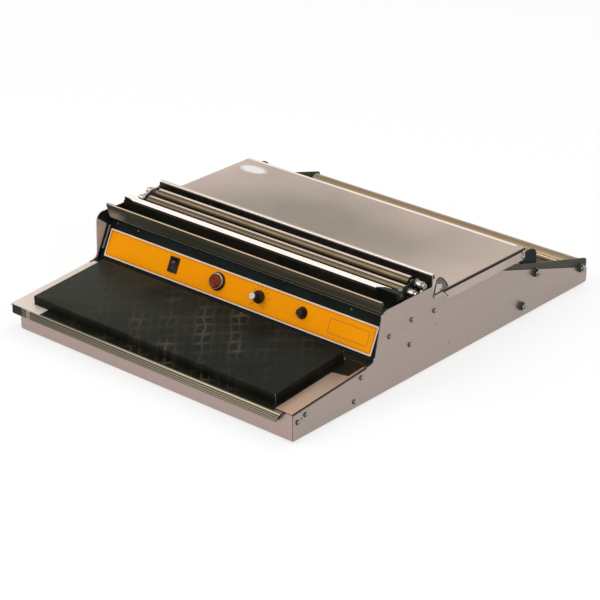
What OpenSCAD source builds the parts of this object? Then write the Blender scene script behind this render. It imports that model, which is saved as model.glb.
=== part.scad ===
// Counter-top machine that wraps food trays in film: a hot plate in front, a control housing with
// a hot cutter and two film guide rollers on top, and a lift-up work table over the film roll behind.
// X runs to the operator's right, Y to the back and Z up. The heights named here are measured from the
// bottom edge of the side panels, and the feet lift everything by foot_h.

/* [Body] */
// Width over the side panels
body_w = 485; // [440:1:560]
// Depth of the side panels along the bottom
body_d = 616; // [604:1:660]
// Thickness of the folded stainless sheet
sheet = 1.2; // [0.8:0.1:1.6]
// Height that the feet hold the side panels off the counter
foot_h = 3; // [2:0.5:8]
// Diameter of a rubber foot
foot_dia = 12; // [10:1:22]
// Width of the flange along the bottom of each side panel
sole_w = 20; // [16:1:26]

/* [Side panels] */
// Height of the side panels at the front
front_h = 36; // [32:0.5:42]
// Slope of the sealing table, rising to the back
rim_angle = 4.6; // [3:0.1:6]
// Depth of the sealing table up to the control housing
rim_len = 146; // [138:1:156]
// Width of the rim flange beside the sealing table
rim_w = 28; // [22:1:36]
// Radius of the folds
fold_r = 2; // [1.5:0.1:3]
// Distance of the housing's front edge behind the sealing table
cheek_gap = 6; // [0:0.5:10]
// Lean of the right panel's edge in front of the housing, back from upright
cheek_lean = 12.5; // [8:0.5:24]
// Lean of the left panel's edge in front of the housing, back from upright
left_lean = 1; // [0:0.5:24]
// Height of the crown beside the cutter
crown_h = 112; // [108:0.5:120]
// Distance from the bulkhead back to where the crown ends and the work table begins
crown_end = 51; // [50:1:56]
// Height of the side panels at the rear
tail_h = 21; // [16:0.5:26]
// Depth at which the rear slope begins
slope_start = 363; // [350:1:380]
// How far the left panel's lower front edge is set back under the rim
left_setback = 14; // [4:1:20]

/* [Hot plate] */
// Depth of the hot plate
plate_d = 128; // [110:1:131]
// Height of the covered plate above the rim
plate_h = 12; // [10:0.5:16]
// Distance of the plate behind the front of the table
plate_y = 9.5; // [8:0.5:12]
// Width of the flat cover between the plate and the right rim
plate_gap = 7; // [3:0.5:12]
// Thickness of the non-stick cover
cover_t = 0.6; // [0.4:0.1:1]
// Height of the lip in front of the sealing table
lip_h = 11.5; // [10:0.5:18]
// How far the lip stands out from the front panel
lip_out = 7; // [5.5:0.5:9]

/* [Controls] */
// Lean of the control face, back from upright
face_lean = 25; // [20:0.5:28]
// How far the control face stands behind the side panels' edge
face_setback = 9; // [6:0.5:12]
// Length of the control face from foot to top
face_len = 61; // [58:0.5:63]
// Height of the orange overlay along the face
label_h = 38.5; // [36:0.5:42]
// Diameter of the pilot lamp's bezel
lamp_dia = 21; // [18:0.5:24]
// Diameter of the knob's skirt
knob_dia = 17; // [15:0.5:22]
// Length of the knob
knob_len = 17; // [12:0.5:20]
// Diameter of the fuse holder's nut
fuse_dia = 16; // [14:0.5:18]
// Width of the rocker switch
switch_w = 16; // [14:0.5:20]
// Height of the rocker switch
switch_h = 21; // [19:0.5:26]

/* [Cutter and guide rollers] */
// Distance of the bulkhead behind the top edge of the control face
bulkhead_y = 35.2; // [33.2:0.5:36.2]
// Height of the guard bar in front of the cutter
guard_h = 19; // [16:0.5:21]
// Width of the cutter's strip
cutter_w = 11; // [9:0.5:12]
// Height of the cutter above the housing
cutter_h = 17; // [14:0.5:19]
// Diameter of the film guide rollers
nip_dia = 15; // [12:0.5:15.5]
// Diameter of the film guide rollers' axles
nip_axle = 8; // [6:0.5:9]

/* [Work table] */
// Height of the work table's top
deck_h = 101; // [99:0.5:104]
// Distance of the work table's rear edge from the rear end of the side panels
deck_end = 153; // [150:1:161]
// Height of the work table's side flanges
deck_flange = 15; // [12:0.5:17]
// Height of the bar along the work table's front
bar_h = 23; // [16:0.5:24]
// Thickness of the work table's hinge ears
ear_t = 3; // [2:0.5:4]

/* [Film roll cradle] */
// Diameter of the cradle rollers
cradle_dia = 24; // [20:0.5:28]
// Diameter of the cradle rollers' axles
cradle_axle = 8; // [7:0.5:10]
// Distance of the front cradle roller from the rear end of the side panels
cradle_y = 124.5; // [120:0.5:130]
// Distance from the front cradle roller to the rear one
cradle_gap = 108; // [98:1:110]
// Thickness of the roller brackets
bracket_t = 2; // [1.5:0.1:3]

/* [Hidden] */
$fn = 48;
clear = 0.3;              // gap between bodies that move past each other
fit = 0.05;               // radial clearance of a shaft in its hole
half_w = body_w / 2;
inner_w = half_w - sheet;                              // inner face of a side panel
face_w = inner_w - bracket_t;                          // inner face of a roller bracket
middle_y = (body_d - lip_out) / 2;
rim_rise = tan(rim_angle);
function rim_z(y) = front_h + y * rim_rise;            // top of the rim at a depth
cheek_foot = rim_len + cheek_gap;
function cheek_y(z, lean) = cheek_foot + (z - rim_z(cheek_foot)) * tan(lean);
seat_h = deck_h - sheet - clear;                       // edge that the work table rests over
function slope_z(y) = seat_h - (seat_h - tail_h) * (y - slope_start) / (body_d - slope_start);

fold_out = fold_r + sheet;                             // outer radius of a fold

// control face: local x along the machine, local y up the face, local z out of it
foot_flange = 12;         // flange at the foot of the control face
plate_rear = plate_y + plate_d + cover_t + clear;
foot_y = max(rim_len + face_setback, plate_rear + foot_flange);
foot_z = rim_z(foot_y);
head_y = foot_y + face_len * sin(face_lean);
head_z = foot_z + face_len * cos(face_lean);
function face_y(z) = foot_y + (z - foot_z) * tan(face_lean);
back_y = head_y + bulkhead_y;                          // front of the bulkhead
crown_stop = back_y + crown_end;
tail_y = body_d - deck_end;                            // rear edge of the work table
axle_y = body_d - cradle_y;                            // front cradle axle
label_s = 3.6;
label_t = 0.5;
label_w = body_w - 19;
control_s = label_s + label_h / 2 + 2;
lamp_x = -31;
knob_x = 42;
fuse_x = 114;
switch_x = -110;
shaft = 6;                // shaft of the thermostat
shaft_hole = 10;
lamp_body = lamp_dia - 5;
fuse_body = fuse_dia - 4;
frame_rim = 2;            // edge of the switch frame around the rocker
rocker_pin = 2.4;
rocker_tilt = 8;
panel_screw_x = [-half_w + 18.5, -half_w + 57, half_w - 57];
panel_screw_s = 51;

// hot plate, in the frame of the sealing table
plate_x0 = -(half_w - rim_w) + 0.4;
plate_x1 = half_w - rim_w - plate_gap;
slab_t = 5;
slab_z = plate_h - cover_t - slab_t;
element_r = 2.5;
element_z = slab_z - element_r - 0.1;
element_rows = [22, 50, 78, 106];
element_reach = (plate_x1 - plate_x0) / 2 - 35;
plate_mid = (plate_x0 + plate_x1) / 2;
clamp_x = 110;            // place of the outer clamps
clamp_w = 12;
bulb_len = 70;
heater_x0 = plate_mid - element_reach + (element_rows[1] - element_rows[0]) / 2;

// cutter and guide rollers
cutter_y = back_y - 8.5;
guard_y = head_y - 12;
guard_t = 1.5;
guard_hem = 1.4;          // inner width of the hem along the guard's top
nip_front = [back_y + 20.5, crown_h - 2];
nip_rear = [back_y + 36, crown_h + 4];
nip_wall = 1.5;
mount_t = 2.5;
mount_x = inner_w - 16;   // inner face of a guide roller bracket
front_reach = mount_x - 3;
rear_reach = mount_x - 7;
bush_len = 9;
mount_foot = 25.8;        // reach of the guide roller brackets down the bulkhead

// work table
deck_start = crown_stop + 1.5 + clear;
deck_half = half_w + clear + sheet;
deck_low = deck_h - sheet;
bar_y = deck_start + 4.5;
bar_half = inner_w - 4.5;
ear_x = face_w - clear - ear_t;

// film roll cradle
stud = 6;                 // thread at the ends of the axles
cradle_front = [axle_y, slope_z(axle_y) - 4.6];
cradle_rear = [axle_y + cradle_gap, slope_z(axle_y + cradle_gap) - 1];
cradle_wall = 1.8;
cradle_reach = ear_x - 1.5;
tie = [axle_y - 28, 15.5];
nut_w = 11;
nut_t = 5;
washer_t = 1;
stud_end = half_w + washer_t + nut_t + 1.5;
bracket_line = -0.274;    // fall of the roller brackets' top edge
bracket_front = axle_y - 96;
bracket_toe = axle_y - 62;
bracket_rear = body_d - 0.3;
bracket_foot = 16;        // width of the flange along a bracket's foot
function bracket_z(y) = slope_z(axle_y) + 9 + (y - axle_y) * bracket_line;
lobe_r = cradle_axle / 2 + 3.5;                        // lobe of a hinge ear around the axle

// screws of the side panels: depth and height of each
screw_head = 6.5;
screw_rise = 2;
shank = 4;
shank_len = 4;
front_screws = [[8.5, front_h - 13], [22.6, front_h - 8]];
plate_screws = [[114.4, 9]];
table_screws = [[rim_len - 19, rim_z(rim_len - 19) - 2 * sheet - 6.5]];
face_screws = [[face_y(73.6) + 14, 73.6]];
bulk_screws = [[back_y + 6, 47.5], [back_y + 9, 80.8]];
mount_screws = [[crown_stop + 4, 77.2]];
all_screws = concat(front_screws, plate_screws, table_screws, face_screws, bulk_screws, mount_screws);
drain_holes = [[15.3, front_h - 10.6], [crown_stop + 7.4, 57.5], [crown_stop + 37.7, 20]];
deck_screw_at = [[tail_y - 4, deck_low - 4], [tail_y - 4, deck_low - 11]];

// Helpers for outlines

function unit(v) = v / norm(v);
function cross2(a, b) = a[0] * b[1] - a[1] * b[0];

// Points of the arc that rounds the corner b between a and c
function corner(a, b, c, r, n) =
    let (
        u = unit(a - b),
        w = unit(c - b),
        half = acos(max(-1, min(1, u * w))) / 2,
        mid = b + unit(u + w) * r / sin(half),
        p = b + u * r / tan(half) - mid,
        turn = (180 - 2 * half) * sign(cross2(b - a, c - b))
    )
    [for (i = [0:n])
        let (t = turn * i / n)
        mid + [p[0] * cos(t) - p[1] * sin(t), p[0] * sin(t) + p[1] * cos(t)]];

// Closed outline with each corner [y, z, radius] rounded
function rounded(p, n = 6) =
    [for (i = [0:len(p) - 1])
        let (
            k = len(p),
            a = p[(i + k - 1) % k],
            b = p[i],
            c = p[(i + 1) % k]
        )
        each b[2] > 0
            ? corner([a[0], a[1]], [b[0], b[1]], [c[0], c[1]], b[2], n)
            : [[b[0], b[1]]]];

// Open path with its inner corners rounded by the radius r
function bent(p, r, n = 5) =
    [p[0],
     for (i = [1:1:len(p) - 2]) each corner(p[i - 1], p[i], p[i + 1], r, n),
     p[len(p) - 1]];

// Strip of thickness t to the left of an open path
function strip(path, t) =
    let (
        k = len(path),
        dirs = [for (i = [0:k - 2]) unit(path[i + 1] - path[i])],
        side = [for (i = [0:k - 1])
            let (
                a = dirs[max(0, i - 1)],
                b = dirs[min(k - 2, i)],
                m = unit(a + b)
            )
            path[i] + [-m[1], m[0]] * t / (m * b)]
    )
    concat(path, [for (i = [k - 1:-1:0]) side[i]]);

// Helpers for solids

// Moves a piece from the drawing's zero to the middle of the footprint
module place() translate([0, -middle_y, foot_h]) children();

// Extrudes an outline in y and z along x, from x0 to x1
module along_x(x0, x1)
    translate([x0, 0, 0])
        rotate([90, 0, 90])
            linear_extrude(x1 - x0)
                children();

// Extrudes an outline in x and z along y, from y0 to y1
module along_y(y0, y1)
    translate([0, y1, 0])
        rotate([90, 0, 0])
            linear_extrude(y1 - y0)
                children();

// Cylinder along x from x0 to x1 at [y, z]
module rod(p, r, x0, x1)
    translate([x0, p[0], p[1]])
        rotate([0, 90, 0])
            cylinder(r = r, h = x1 - x0);

// Cylinder along y from y0 to y1 at [x, z]
module rod_y(x, z, r, y0, y1)
    translate([x, y1, z])
        rotate([90, 0, 0])
            cylinder(r = r, h = y1 - y0);

// Frame of the sealing table: local y up the slope, local z square to it, zero on top of the rim
module on_rim()
    translate([0, 0, front_h])
        rotate([rim_angle, 0, 0])
            children();

// Frame of the control face at a place along x and up the face
module on_face(x = 0, s = 0)
    translate([x, foot_y, foot_z])
        rotate([90 - face_lean, 0, 0])
            translate([0, s, 0])
                children();

module both_sides() {
    children();
    mirror([1, 0, 0])
        children();
}

// Shanks of screws through the right side, as solids or as holes with a clearance
module shanks(points, r, x0, x1)
    for (p = points)
        rod(p, r, x0, x1);

// Sheet metal body

flange_end = rim_len - 9;                              // rear end of the fold along the rim
flange_stop = foot_y - foot_flange - 1;

// Outline of a side panel, whose edge in front of the housing leans back
function panel_outline(lean) = [
    [0, 0, 1],
    [0, front_h - fold_out, 0],
    [flange_end, rim_z(flange_end) - fold_out, 0],
    [flange_end + 0.1, rim_z(flange_end), 0],
    [cheek_foot, rim_z(cheek_foot), 10],
    [cheek_y(crown_h, lean), crown_h, 12],
    [crown_stop, crown_h, 3],
    [crown_stop + 1.5, seat_h, 0],
    [slope_start, seat_h, 20],
    [body_d, tail_h, 3],
    [body_d, 0, 3]
];

// Rim flange of the right panel in its plan: the fold along the top edge, trimmed to an outline
module rim_flange(front, plan)
    on_rim()
        intersection() {
            along_y(front, rim_len)
                polygon(strip(bent([
                    [inner_w, -fold_out - 0.3],
                    [inner_w, -sheet],
                    [half_w - rim_w, -sheet]
                ], fold_r), -sheet));
            translate([0, 0, -20])
                linear_extrude(40)
                    polygon(plan);
        }

// Flat of the right panel with its sole flange, screw holes and axle holes
module panel_flat(setback, lean)
    difference() {
        union() {
            along_x(inner_w, half_w)
                difference() {
                    polygon(rounded(panel_outline(lean)));
                    if (setback > 0)
                        translate([-1, -1])
                            square([setback + 1, front_h - 9]);
                }
            translate([half_w - sole_w, 14, 0])
                cube([sole_w - sheet / 2, body_d - 18, sheet]);
        }
        shanks(all_screws, shank / 2 + fit, inner_w - 1, half_w + 1);
        shanks(drain_holes, 1.2, inner_w - 1, half_w + 1);
        shanks([cradle_front, cradle_rear, tie], stud / 2 + fit, inner_w - 1, half_w + 1);
    }

// Right panel: its rim flange is cut off on the slant ahead of the housing
module side_panel_right()
    color("silver")
        place() {
            panel_flat(0, cheek_lean);
            rim_flange(-1, [
                [half_w + 1, -0.2],
                [half_w - rim_w - 1, -0.2],
                [half_w - rim_w - 1, rim_len - 42],
                [half_w - 5, rim_len - 37],
                [half_w - 5, flange_end],
                [half_w + 1, flange_end]
            ]);
        }

// Left panel: its rim flange runs from the front of the lip to the housing
module side_panel_left() {
    front = 0.5 - lip_out;
    color("silver")
        place()
            mirror([1, 0, 0]) {
                panel_flat(left_setback, left_lean);
                rim_flange(front, [
                    [half_w + 1, front],
                    [half_w - rim_w - 1, front],
                    [half_w - rim_w - 1, flange_stop],
                    [half_w - 5, flange_stop],
                    [half_w - 5, flange_end],
                    [half_w + 1, flange_end]
                ]);
                // tab of the rim in front of the hot plate
                on_rim()
                    translate([half_w - rim_w - 27, front, -sheet])
                        cube([27.5, plate_y - cover_t - clear - front, sheet]);
            }
}

// Upright sheet in front, with a foot flange and a return at each end
module front_panel() {
    left = -half_w + left_setback - 2.5;
    top = front_h - 2 * sheet - 0.6;
    high = front_h - sheet - 0.2;
    color("rosybrown")
        place()
            difference() {
                union() {
                    along_y(0, sheet)
                        polygon(rounded([
                            [left, 0, 2.5],
                            [inner_w, 0, 0],
                            [inner_w, front_h - fold_out, 0],
                            [inner_w - fold_r, high, 0],
                            [half_w - 11.5, high, 0],
                            [half_w - 12.5, top, 0],
                            [left, top, 0]
                        ]));
                    translate([left + 3, sheet / 2, 0])
                        cube([inner_w - sole_w - 2 - left, 12, sheet]);
                    translate([left, sheet / 2, 3])
                        cube([sheet, 12, top - 4]);
                    translate([inner_w - sheet, sheet / 2, 2 * sheet + 0.2])
                        cube([sheet, 30, top - 2 * sheet - 1.2]);
                }
                shanks(concat(front_screws, [drain_holes[0]]), shank / 2 + fit, inner_w - 5, half_w);
            }
}

// Bottom of the electrics box: a tray with turned-up sides and rows of vent slots
module base_plate()
    color("gray")
        place()
            difference() {
                union() {
                    translate([-inner_w, 14, sheet])
                        cube([2 * inner_w, back_y - 14 + sheet, sheet]);
                    both_sides()
                        translate([inner_w - sheet, 40, sheet])
                            cube([sheet, back_y - 60, 13]);
                }
                both_sides()
                    shanks(plate_screws, shank / 2 + fit, inner_w - 5, half_w);
                for (x = [-150:60:150], y = [50:12:98])
                    translate([x - 18, y, 0])
                        cube([36, 4, 3 * sheet]);
            }

// Rear wall of the electrics box, flanged at its foot and its sides
module rear_bulkhead()
    color("gray")
        place()
            difference() {
                union() {
                    translate([-inner_w, back_y, 2 * sheet])
                        cube([2 * inner_w, sheet, head_z - 3 * sheet]);
                    both_sides()
                        translate([inner_w - sheet, back_y + sheet / 2, 12])
                            cube([sheet, 14, head_z - 30]);
                    translate([-inner_w + 10, back_y - 12, 2 * sheet])
                        cube([2 * inner_w - 20, 12.5, sheet]);
                }
                both_sides()
                    shanks(bulk_screws, shank / 2 + fit, inner_w - 5, half_w);
                rod_y(gland_x, gland_z, gland_r + fit, back_y - 5, back_y + 5);
            }

// Sealing table: an inclined sheet whose front edge rolls over the front panel as a lip, with a flange
// turned down at each side for the rim's screws
module table_plate() {
    edge = inner_w - fold_r - 0.2;
    flange = 10;                                       // overlap of a side flange on the sheet
    lip_y = (sheet - lip_out) / cos(rim_angle) - 2 * sheet * tan(rim_angle);
    lip_low = [lip_y - lip_h * sin(rim_angle), -2 * sheet - lip_h * cos(rim_angle)];
    lip_reach = lip_out - 2 * sheet - 0.3;
    path = bent([
        [foot_y + 8, -2 * sheet],
        [lip_y, -2 * sheet],
        lip_low,
        lip_low + lip_reach * [cos(rim_angle), -sin(rim_angle)]
    ], fold_r);
    color("tan")
        place()
            difference() {
                union() {
                    on_rim()
                        difference() {
                            along_x(-edge, edge)
                                polygon(strip(path, -sheet));
                            // the lip stops on the slant short of the right panel
                            along_y(-lip_out - 3, 8)
                                polygon([
                                    [half_w - 26.5, -lip_h - 8],
                                    [half_w - 13.5, 1],
                                    [half_w, 1],
                                    [half_w, -lip_h - 8]
                                ]);
                            for (k = [0, 3])
                                translate([heater_x0, plate_y + element_rows[k], -5])
                                    cylinder(r = element_r + 2, h = 10);
                        }
                    both_sides()
                        on_rim()
                            along_y(rim_len - 104, rim_len - 12)
                                polygon(strip(bent([
                                    [inner_w, -18],
                                    [inner_w, -sheet],
                                    [inner_w - flange, -sheet]
                                ], fold_r), sheet));
                }
                both_sides()
                    shanks(table_screws, shank / 2 + fit, inner_w - 5, half_w);
            }
}

// Hot plate and what heats it

// Slab with walls that stand on the sealing table
module hot_plate()
    color("gainsboro")
        place()
            on_rim()
                difference() {
                    translate([plate_x0 + cover_t, plate_y, -sheet])
                        cube([plate_x1 - plate_x0 - 2 * cover_t, plate_d, plate_h - cover_t + sheet]);
                    translate([plate_x0 + cover_t + 4, plate_y + 4, -2 * sheet])
                        cube([plate_x1 - plate_x0 - 2 * cover_t - 8, plate_d - 8, slab_z + 2 * sheet]);
                }

// Non-stick cover: drawn over the plate, with a flat skirt in front, at the right and behind the rim
module plate_cover() {
    skirt_x0 = plate_x0 + 27;
    skirt_x1 = half_w - rim_w - 0.4;
    color("darkslategray")
        place()
            on_rim() {
                difference() {
                    intersection() {
                        along_x(plate_x0, plate_x1)
                            polygon(rounded([
                                [plate_y - cover_t, -sheet, 0],
                                [plate_y - cover_t, plate_h, 2],
                                [plate_y + plate_d + cover_t, plate_h, 2],
                                [plate_y + plate_d + cover_t, -sheet, 0]
                            ], 4));
                        translate([0, 0, -5])
                            linear_extrude(plate_h + 10)
                                polygon(rounded([
                                    [plate_x0, plate_y - cover_t, 0.9],
                                    [plate_x1, plate_y - cover_t, 0.9],
                                    [plate_x1, plate_y + plate_d + cover_t, 0.9],
                                    [plate_x0, plate_y + plate_d + cover_t, 0.9]
                                ], 4));
                    }
                    translate([plate_x0 + cover_t, plate_y, -3 * sheet])
                        cube([plate_x1 - plate_x0 - 2 * cover_t, plate_d, plate_h - cover_t + 3 * sheet]);
                }
                translate([skirt_x0, -3.4, -sheet])
                    cube([skirt_x1 - skirt_x0, plate_y - cover_t / 2 + 3.4, cover_t]);
                translate([plate_x1 - cover_t / 2, -3.4, -sheet])
                    cube([skirt_x1 - plate_x1 + cover_t / 2, plate_y + plate_d + 3.4, cover_t]);
                translate([0, 0, -sheet])
                    linear_extrude(cover_t)
                        polygon([
                            [plate_x1 - cover_t / 2, rim_len - 44],
                            [skirt_x1, rim_len - 41],
                            [half_w - 5.4, rim_len - 36],
                            [half_w - 5.4, flange_stop],
                            [plate_x1 - cover_t / 2, flange_stop]
                        ]);
            }
}

// Tubular heater: four runs joined by half rings, its ends turned down through the table
module heating_element() {
    r = (element_rows[1] - element_rows[0]) / 2;
    color("dimgray")
        place()
            on_rim()
                translate([plate_mid, plate_y, element_z]) {
                    for (y = element_rows)
                        rod([y, 0], element_r, -element_reach + r, element_reach - r);
                    for (k = [0:2])
                        translate([(k % 2 == 0 ? 1 : -1) * (element_reach - r),
                                   (element_rows[k] + element_rows[k + 1]) / 2, 0])
                            rotate([0, 0, k % 2 == 0 ? -90 : 90])
                                rotate_extrude(angle = 180, $fn = 32)
                                    translate([r, 0])
                                        circle(r = element_r);
                    for (y = [element_rows[0], element_rows[3]])
                        translate([-element_reach + r, y, -element_z - 10])
                            cylinder(r = element_r * 0.8, h = element_z + 10);
                }
}

// Straps that press the heater against the slab
module element_clamps()
    color("silver")
        place()
            on_rim()
                for (x = [-clamp_x, 0, clamp_x])
                    translate([plate_mid + x - clamp_w / 2, plate_y + 4, element_z - element_r - 1.3])
                        cube([clamp_w, plate_d - 8, 1.2]);

// Bulb of the thermostat, between two runs of the heater
module sensor_bulb()
    color("goldenrod")
        place()
            on_rim()
                rod([plate_y + (element_rows[1] + element_rows[2]) / 2, slab_z - 2.6], 2.5,
                    plate_mid - bulb_len - 20, plate_mid - 20);

// Control housing

// Black sheet: foot flange, leaning face, top shelf and side flanges, cut out for the controls
module control_panel() {
    path = bent([
        [foot_y - foot_flange, rim_z(foot_y - foot_flange)],
        [foot_y, foot_z],
        [head_y, head_z],
        [back_y + sheet, head_z]
    ], fold_r);
    color("#23282a")
        place()
            difference() {
                union() {
                    along_x(-inner_w, inner_w)
                        polygon(strip(path, -sheet));
                    both_sides()
                        along_x(inner_w - sheet, inner_w)
                            polygon([
                                [face_y(60) + sheet / 2, 60],
                                [face_y(60) + 24, 60],
                                [face_y(60) + 24, 90],
                                [face_y(90) + sheet / 2, 90]
                            ]);
                }
                on_face(switch_x, control_s)
                    cube([switch_w - 2, switch_h - 2, 10], center = true);
                on_face(lamp_x, control_s)
                    cylinder(r = lamp_body / 2 + fit, h = 10, center = true);
                on_face(knob_x, control_s)
                    cylinder(r = shaft_hole / 2 + fit, h = 10, center = true);
                on_face(fuse_x, control_s)
                    cylinder(r = fuse_body / 2 + fit, h = 10, center = true);
                for (x = panel_screw_x)
                    on_face(x, panel_screw_s)
                        cylinder(r = 1.5 + fit, h = 10, center = true);
                both_sides()
                    shanks(face_screws, shank / 2 + fit, inner_w - 5, half_w);
            }
}

// Thin label along the face, cut out for the controls
module control_overlay()
    color("orange")
        place()
            on_face(0, label_s)
                linear_extrude(label_t)
                    difference() {
                        polygon(rounded([
                            [-label_w / 2, 0, 1],
                            [label_w / 2, 0, 1],
                            [label_w / 2, label_h, 1],
                            [-label_w / 2, label_h, 1]
                        ], 3));
                        translate([switch_x, control_s - label_s])
                            square([switch_w + 0.4, switch_h + 0.4], center = true);
                        translate([lamp_x, control_s - label_s])
                            circle(r = lamp_dia / 2 + 0.2);
                        translate([knob_x, control_s - label_s])
                            circle(r = shaft_hole / 2 + 0.2);
                        translate([fuse_x, control_s - label_s])
                            circle(r = fuse_dia / 2 + 0.2);
                    }

// Frame of the rocker switch, with a well for the rocker, pin holes and contact blades behind
module switch_frame() {
    well_w = switch_w - 2 * frame_rim;
    well_h = switch_h - 2 * frame_rim;
    color("#1c1c1e")
        place()
            on_face(switch_x, control_s) {
                difference() {
                    union() {
                        linear_extrude(2)
                            polygon(rounded([
                                [-switch_w / 2, -switch_h / 2, 1],
                                [switch_w / 2, -switch_h / 2, 1],
                                [switch_w / 2, switch_h / 2, 1],
                                [-switch_w / 2, switch_h / 2, 1]
                            ], 3));
                        translate([0, 0, -9])
                            cube([switch_w - 2.2, switch_h - 2.2, 18.2], center = true);
                    }
                    translate([-well_w / 2, -well_h / 2, -6])
                        cube([well_w, well_h, 10]);
                    translate([0, 0, -1])
                        rotate([0, 90, 0])
                            cylinder(r = rocker_pin / 2 + fit, h = well_w + 1.4, center = true);
                }
                for (y = [-5, 0, 5])
                    translate([-2.4, y - 0.4, -25])
                        cube([4.8, 0.8, 7]);
            }
}

// Rocker, resting with its lower half pressed in
module switch_rocker() {
    well_w = switch_w - 2 * frame_rim;
    reach = switch_h / 2 - frame_rim - 1;
    color("#1c1c1e")
        place()
            on_face(switch_x, control_s)
                translate([0, 0, -1])
                    rotate([rocker_tilt, 0, 0]) {
                        along_x(-well_w / 2 + clear, well_w / 2 - clear)
                            polygon([
                                [-reach + 1.5, -3],
                                [reach - 1.5, -3],
                                [reach, 3.6],
                                [reach * 0.5, 3.1],
                                [0, 3.2],
                                [-reach * 0.5, 3.1],
                                [-reach, 3.6]
                            ]);
                        rotate([0, 90, 0])
                            cylinder(r = rocker_pin / 2, h = well_w + 1, center = true);
                    }
}

// Pilot lamp: bezel with its body behind the panel, bright ring, domed lens
module lamp_bezel()
    color("#1c1c1e")
        place()
            on_face(lamp_x, control_s)
                difference() {
                    union() {
                        cylinder(r = lamp_dia / 2, h = 2);
                        translate([0, 0, -20])
                            cylinder(r = lamp_body / 2, h = 20.1);
                    }
                    translate([0, 0, -12])
                        cylinder(r = lamp_body / 2 - 1.5, h = 20);
                }

module lamp_ring()
    color("silver")
        place()
            on_face(lamp_x, control_s)
                translate([0, 0, 2])
                    difference() {
                        cylinder(r1 = lamp_dia / 2 - 1, r2 = lamp_dia / 2 - 1.6, h = 3);
                        translate([0, 0, -1])
                            cylinder(r = lamp_dia / 2 - 3, h = 6);
                    }

module lamp_lens() {
    r = lamp_dia / 2 - 3 - fit;
    color("#8f2a12")
        place()
            on_face(lamp_x, control_s)
                translate([0, 0, 2])
                    rotate_extrude($fn = 48)
                        polygon(concat(
                            [[0, 0], [r, 0], [r, 5]],
                            [for (i = [1:6]) let (t = i * 15) [r * cos(t), 5 + 2 * sin(t)]]
                        ));
}

// Thermostat behind the panel, held by its threaded neck
module thermostat()
    color("gainsboro")
        place()
            on_face(knob_x, control_s)
                difference() {
                    union() {
                        translate([-20, -15, -30])
                            cube([40, 28, 30 - sheet]);
                        translate([0, 0, -sheet - 1])
                            cylinder(r = shaft_hole / 2, h = sheet + 2.5);
                    }
                    translate([0, 0, -16])
                        cylinder(r = shaft / 2 + fit, h = 30);
                }

module thermostat_shaft()
    color("silver")
        place()
            on_face(knob_x, control_s)
                translate([0, 0, -15.7])
                    cylinder(r = shaft / 2, h = 15.7 + knob_len - 3);

// Knob: skirt, tapered grip and the socket for the shaft
module knob() {
    r = knob_dia / 2;
    color("#1c1c1e")
        place()
            on_face(knob_x, control_s)
                translate([0, 0, 1.8])
                    rotate_extrude($fn = 48)
                        polygon([
                            [shaft / 2 + fit, 0],
                            [r, 0],
                            [r, 2.6],
                            [r - 0.8, 3.4],
                            [r * 0.7, 5.2],
                            [r * 0.56, knob_len - 2.4],
                            [0, knob_len - 2.4],
                            [0, knob_len - 4.4],
                            [shaft / 2 + fit, knob_len - 4.4]
                        ]);
}

module knob_cap()
    color("lightgray")
        place()
            on_face(knob_x, control_s)
                translate([0, 0, knob_len - 0.6])
                    cylinder(r1 = knob_dia * 0.27, r2 = knob_dia * 0.25, h = 0.8);

// Fuse holder with its nut outside and its tube behind the panel
module fuse_holder()
    color("#1c1c1e")
        place()
            on_face(fuse_x, control_s)
                difference() {
                    union() {
                        cylinder(r1 = fuse_dia / 2, r2 = fuse_dia / 2 - 0.8, h = 3);
                        translate([0, 0, -32])
                            cylinder(r = fuse_body / 2, h = 32.1);
                    }
                    translate([0, 0, -28])
                        cylinder(r = 3.6 + fit, h = 40);
                }

// Cap of the fuse holder, with a driver slot across its face
module fuse_cap()
    color("#1c1c1e")
        place()
            on_face(fuse_x, control_s)
                difference() {
                    union() {
                        translate([0, 0, 3 + clear])
                            cylinder(r1 = 5.4, r2 = 4.6, h = 5);
                        translate([0, 0, -4])
                            cylinder(r = 3.6, h = 8);
                    }
                    translate([-6, -0.6, 7.2])
                        cube([12, 1.2, 3]);
                }

module fuse()
    color("lightblue")
        place()
            on_face(fuse_x, control_s)
                translate([0, 0, -27.7])
                    cylinder(r = 2.6, h = 20);

// Transformer that feeds the cutter
core_w = 54;
core_d = 26;
core_h = 44;
leg_w = 18;
trafo = [-half_w + 52.5, back_y - 34];

module transformer_core()
    color("dimgray")
        place()
            translate([trafo[0], trafo[1], 2 * sheet]) {
                difference() {
                    translate([-core_w / 2, -core_d / 2, 0])
                        cube([core_w, core_d, core_h]);
                    both_sides()
                        translate([leg_w / 2, -core_d, leg_w / 2])
                            cube([(core_w - 2 * leg_w) / 2, 2 * core_d, core_h - leg_w]);
                }
                both_sides()
                    translate([core_w / 2 - 1, -core_d / 2, 0])
                        cube([9, core_d, 2]);
            }

module transformer_coil() {
    gap = 0.2;
    wide = (core_w - 2 * leg_w) / 2 - gap;
    color("peru")
        place()
            translate([trafo[0], trafo[1], 2 * sheet + leg_w / 2 + gap])
                difference() {
                    linear_extrude(core_h - leg_w - 2 * gap)
                        polygon(rounded([
                            [-leg_w / 2 - wide, -core_d / 2 - wide, 5],
                            [leg_w / 2 + wide, -core_d / 2 - wide, 5],
                            [leg_w / 2 + wide, core_d / 2 + wide, 5],
                            [-leg_w / 2 - wide, core_d / 2 + wide, 5]
                        ]));
                    translate([-leg_w / 2 - gap, -core_d / 2 - gap, -1])
                        cube([leg_w + 2 * gap, core_d + 2 * gap, core_h]);
                }
}

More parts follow.
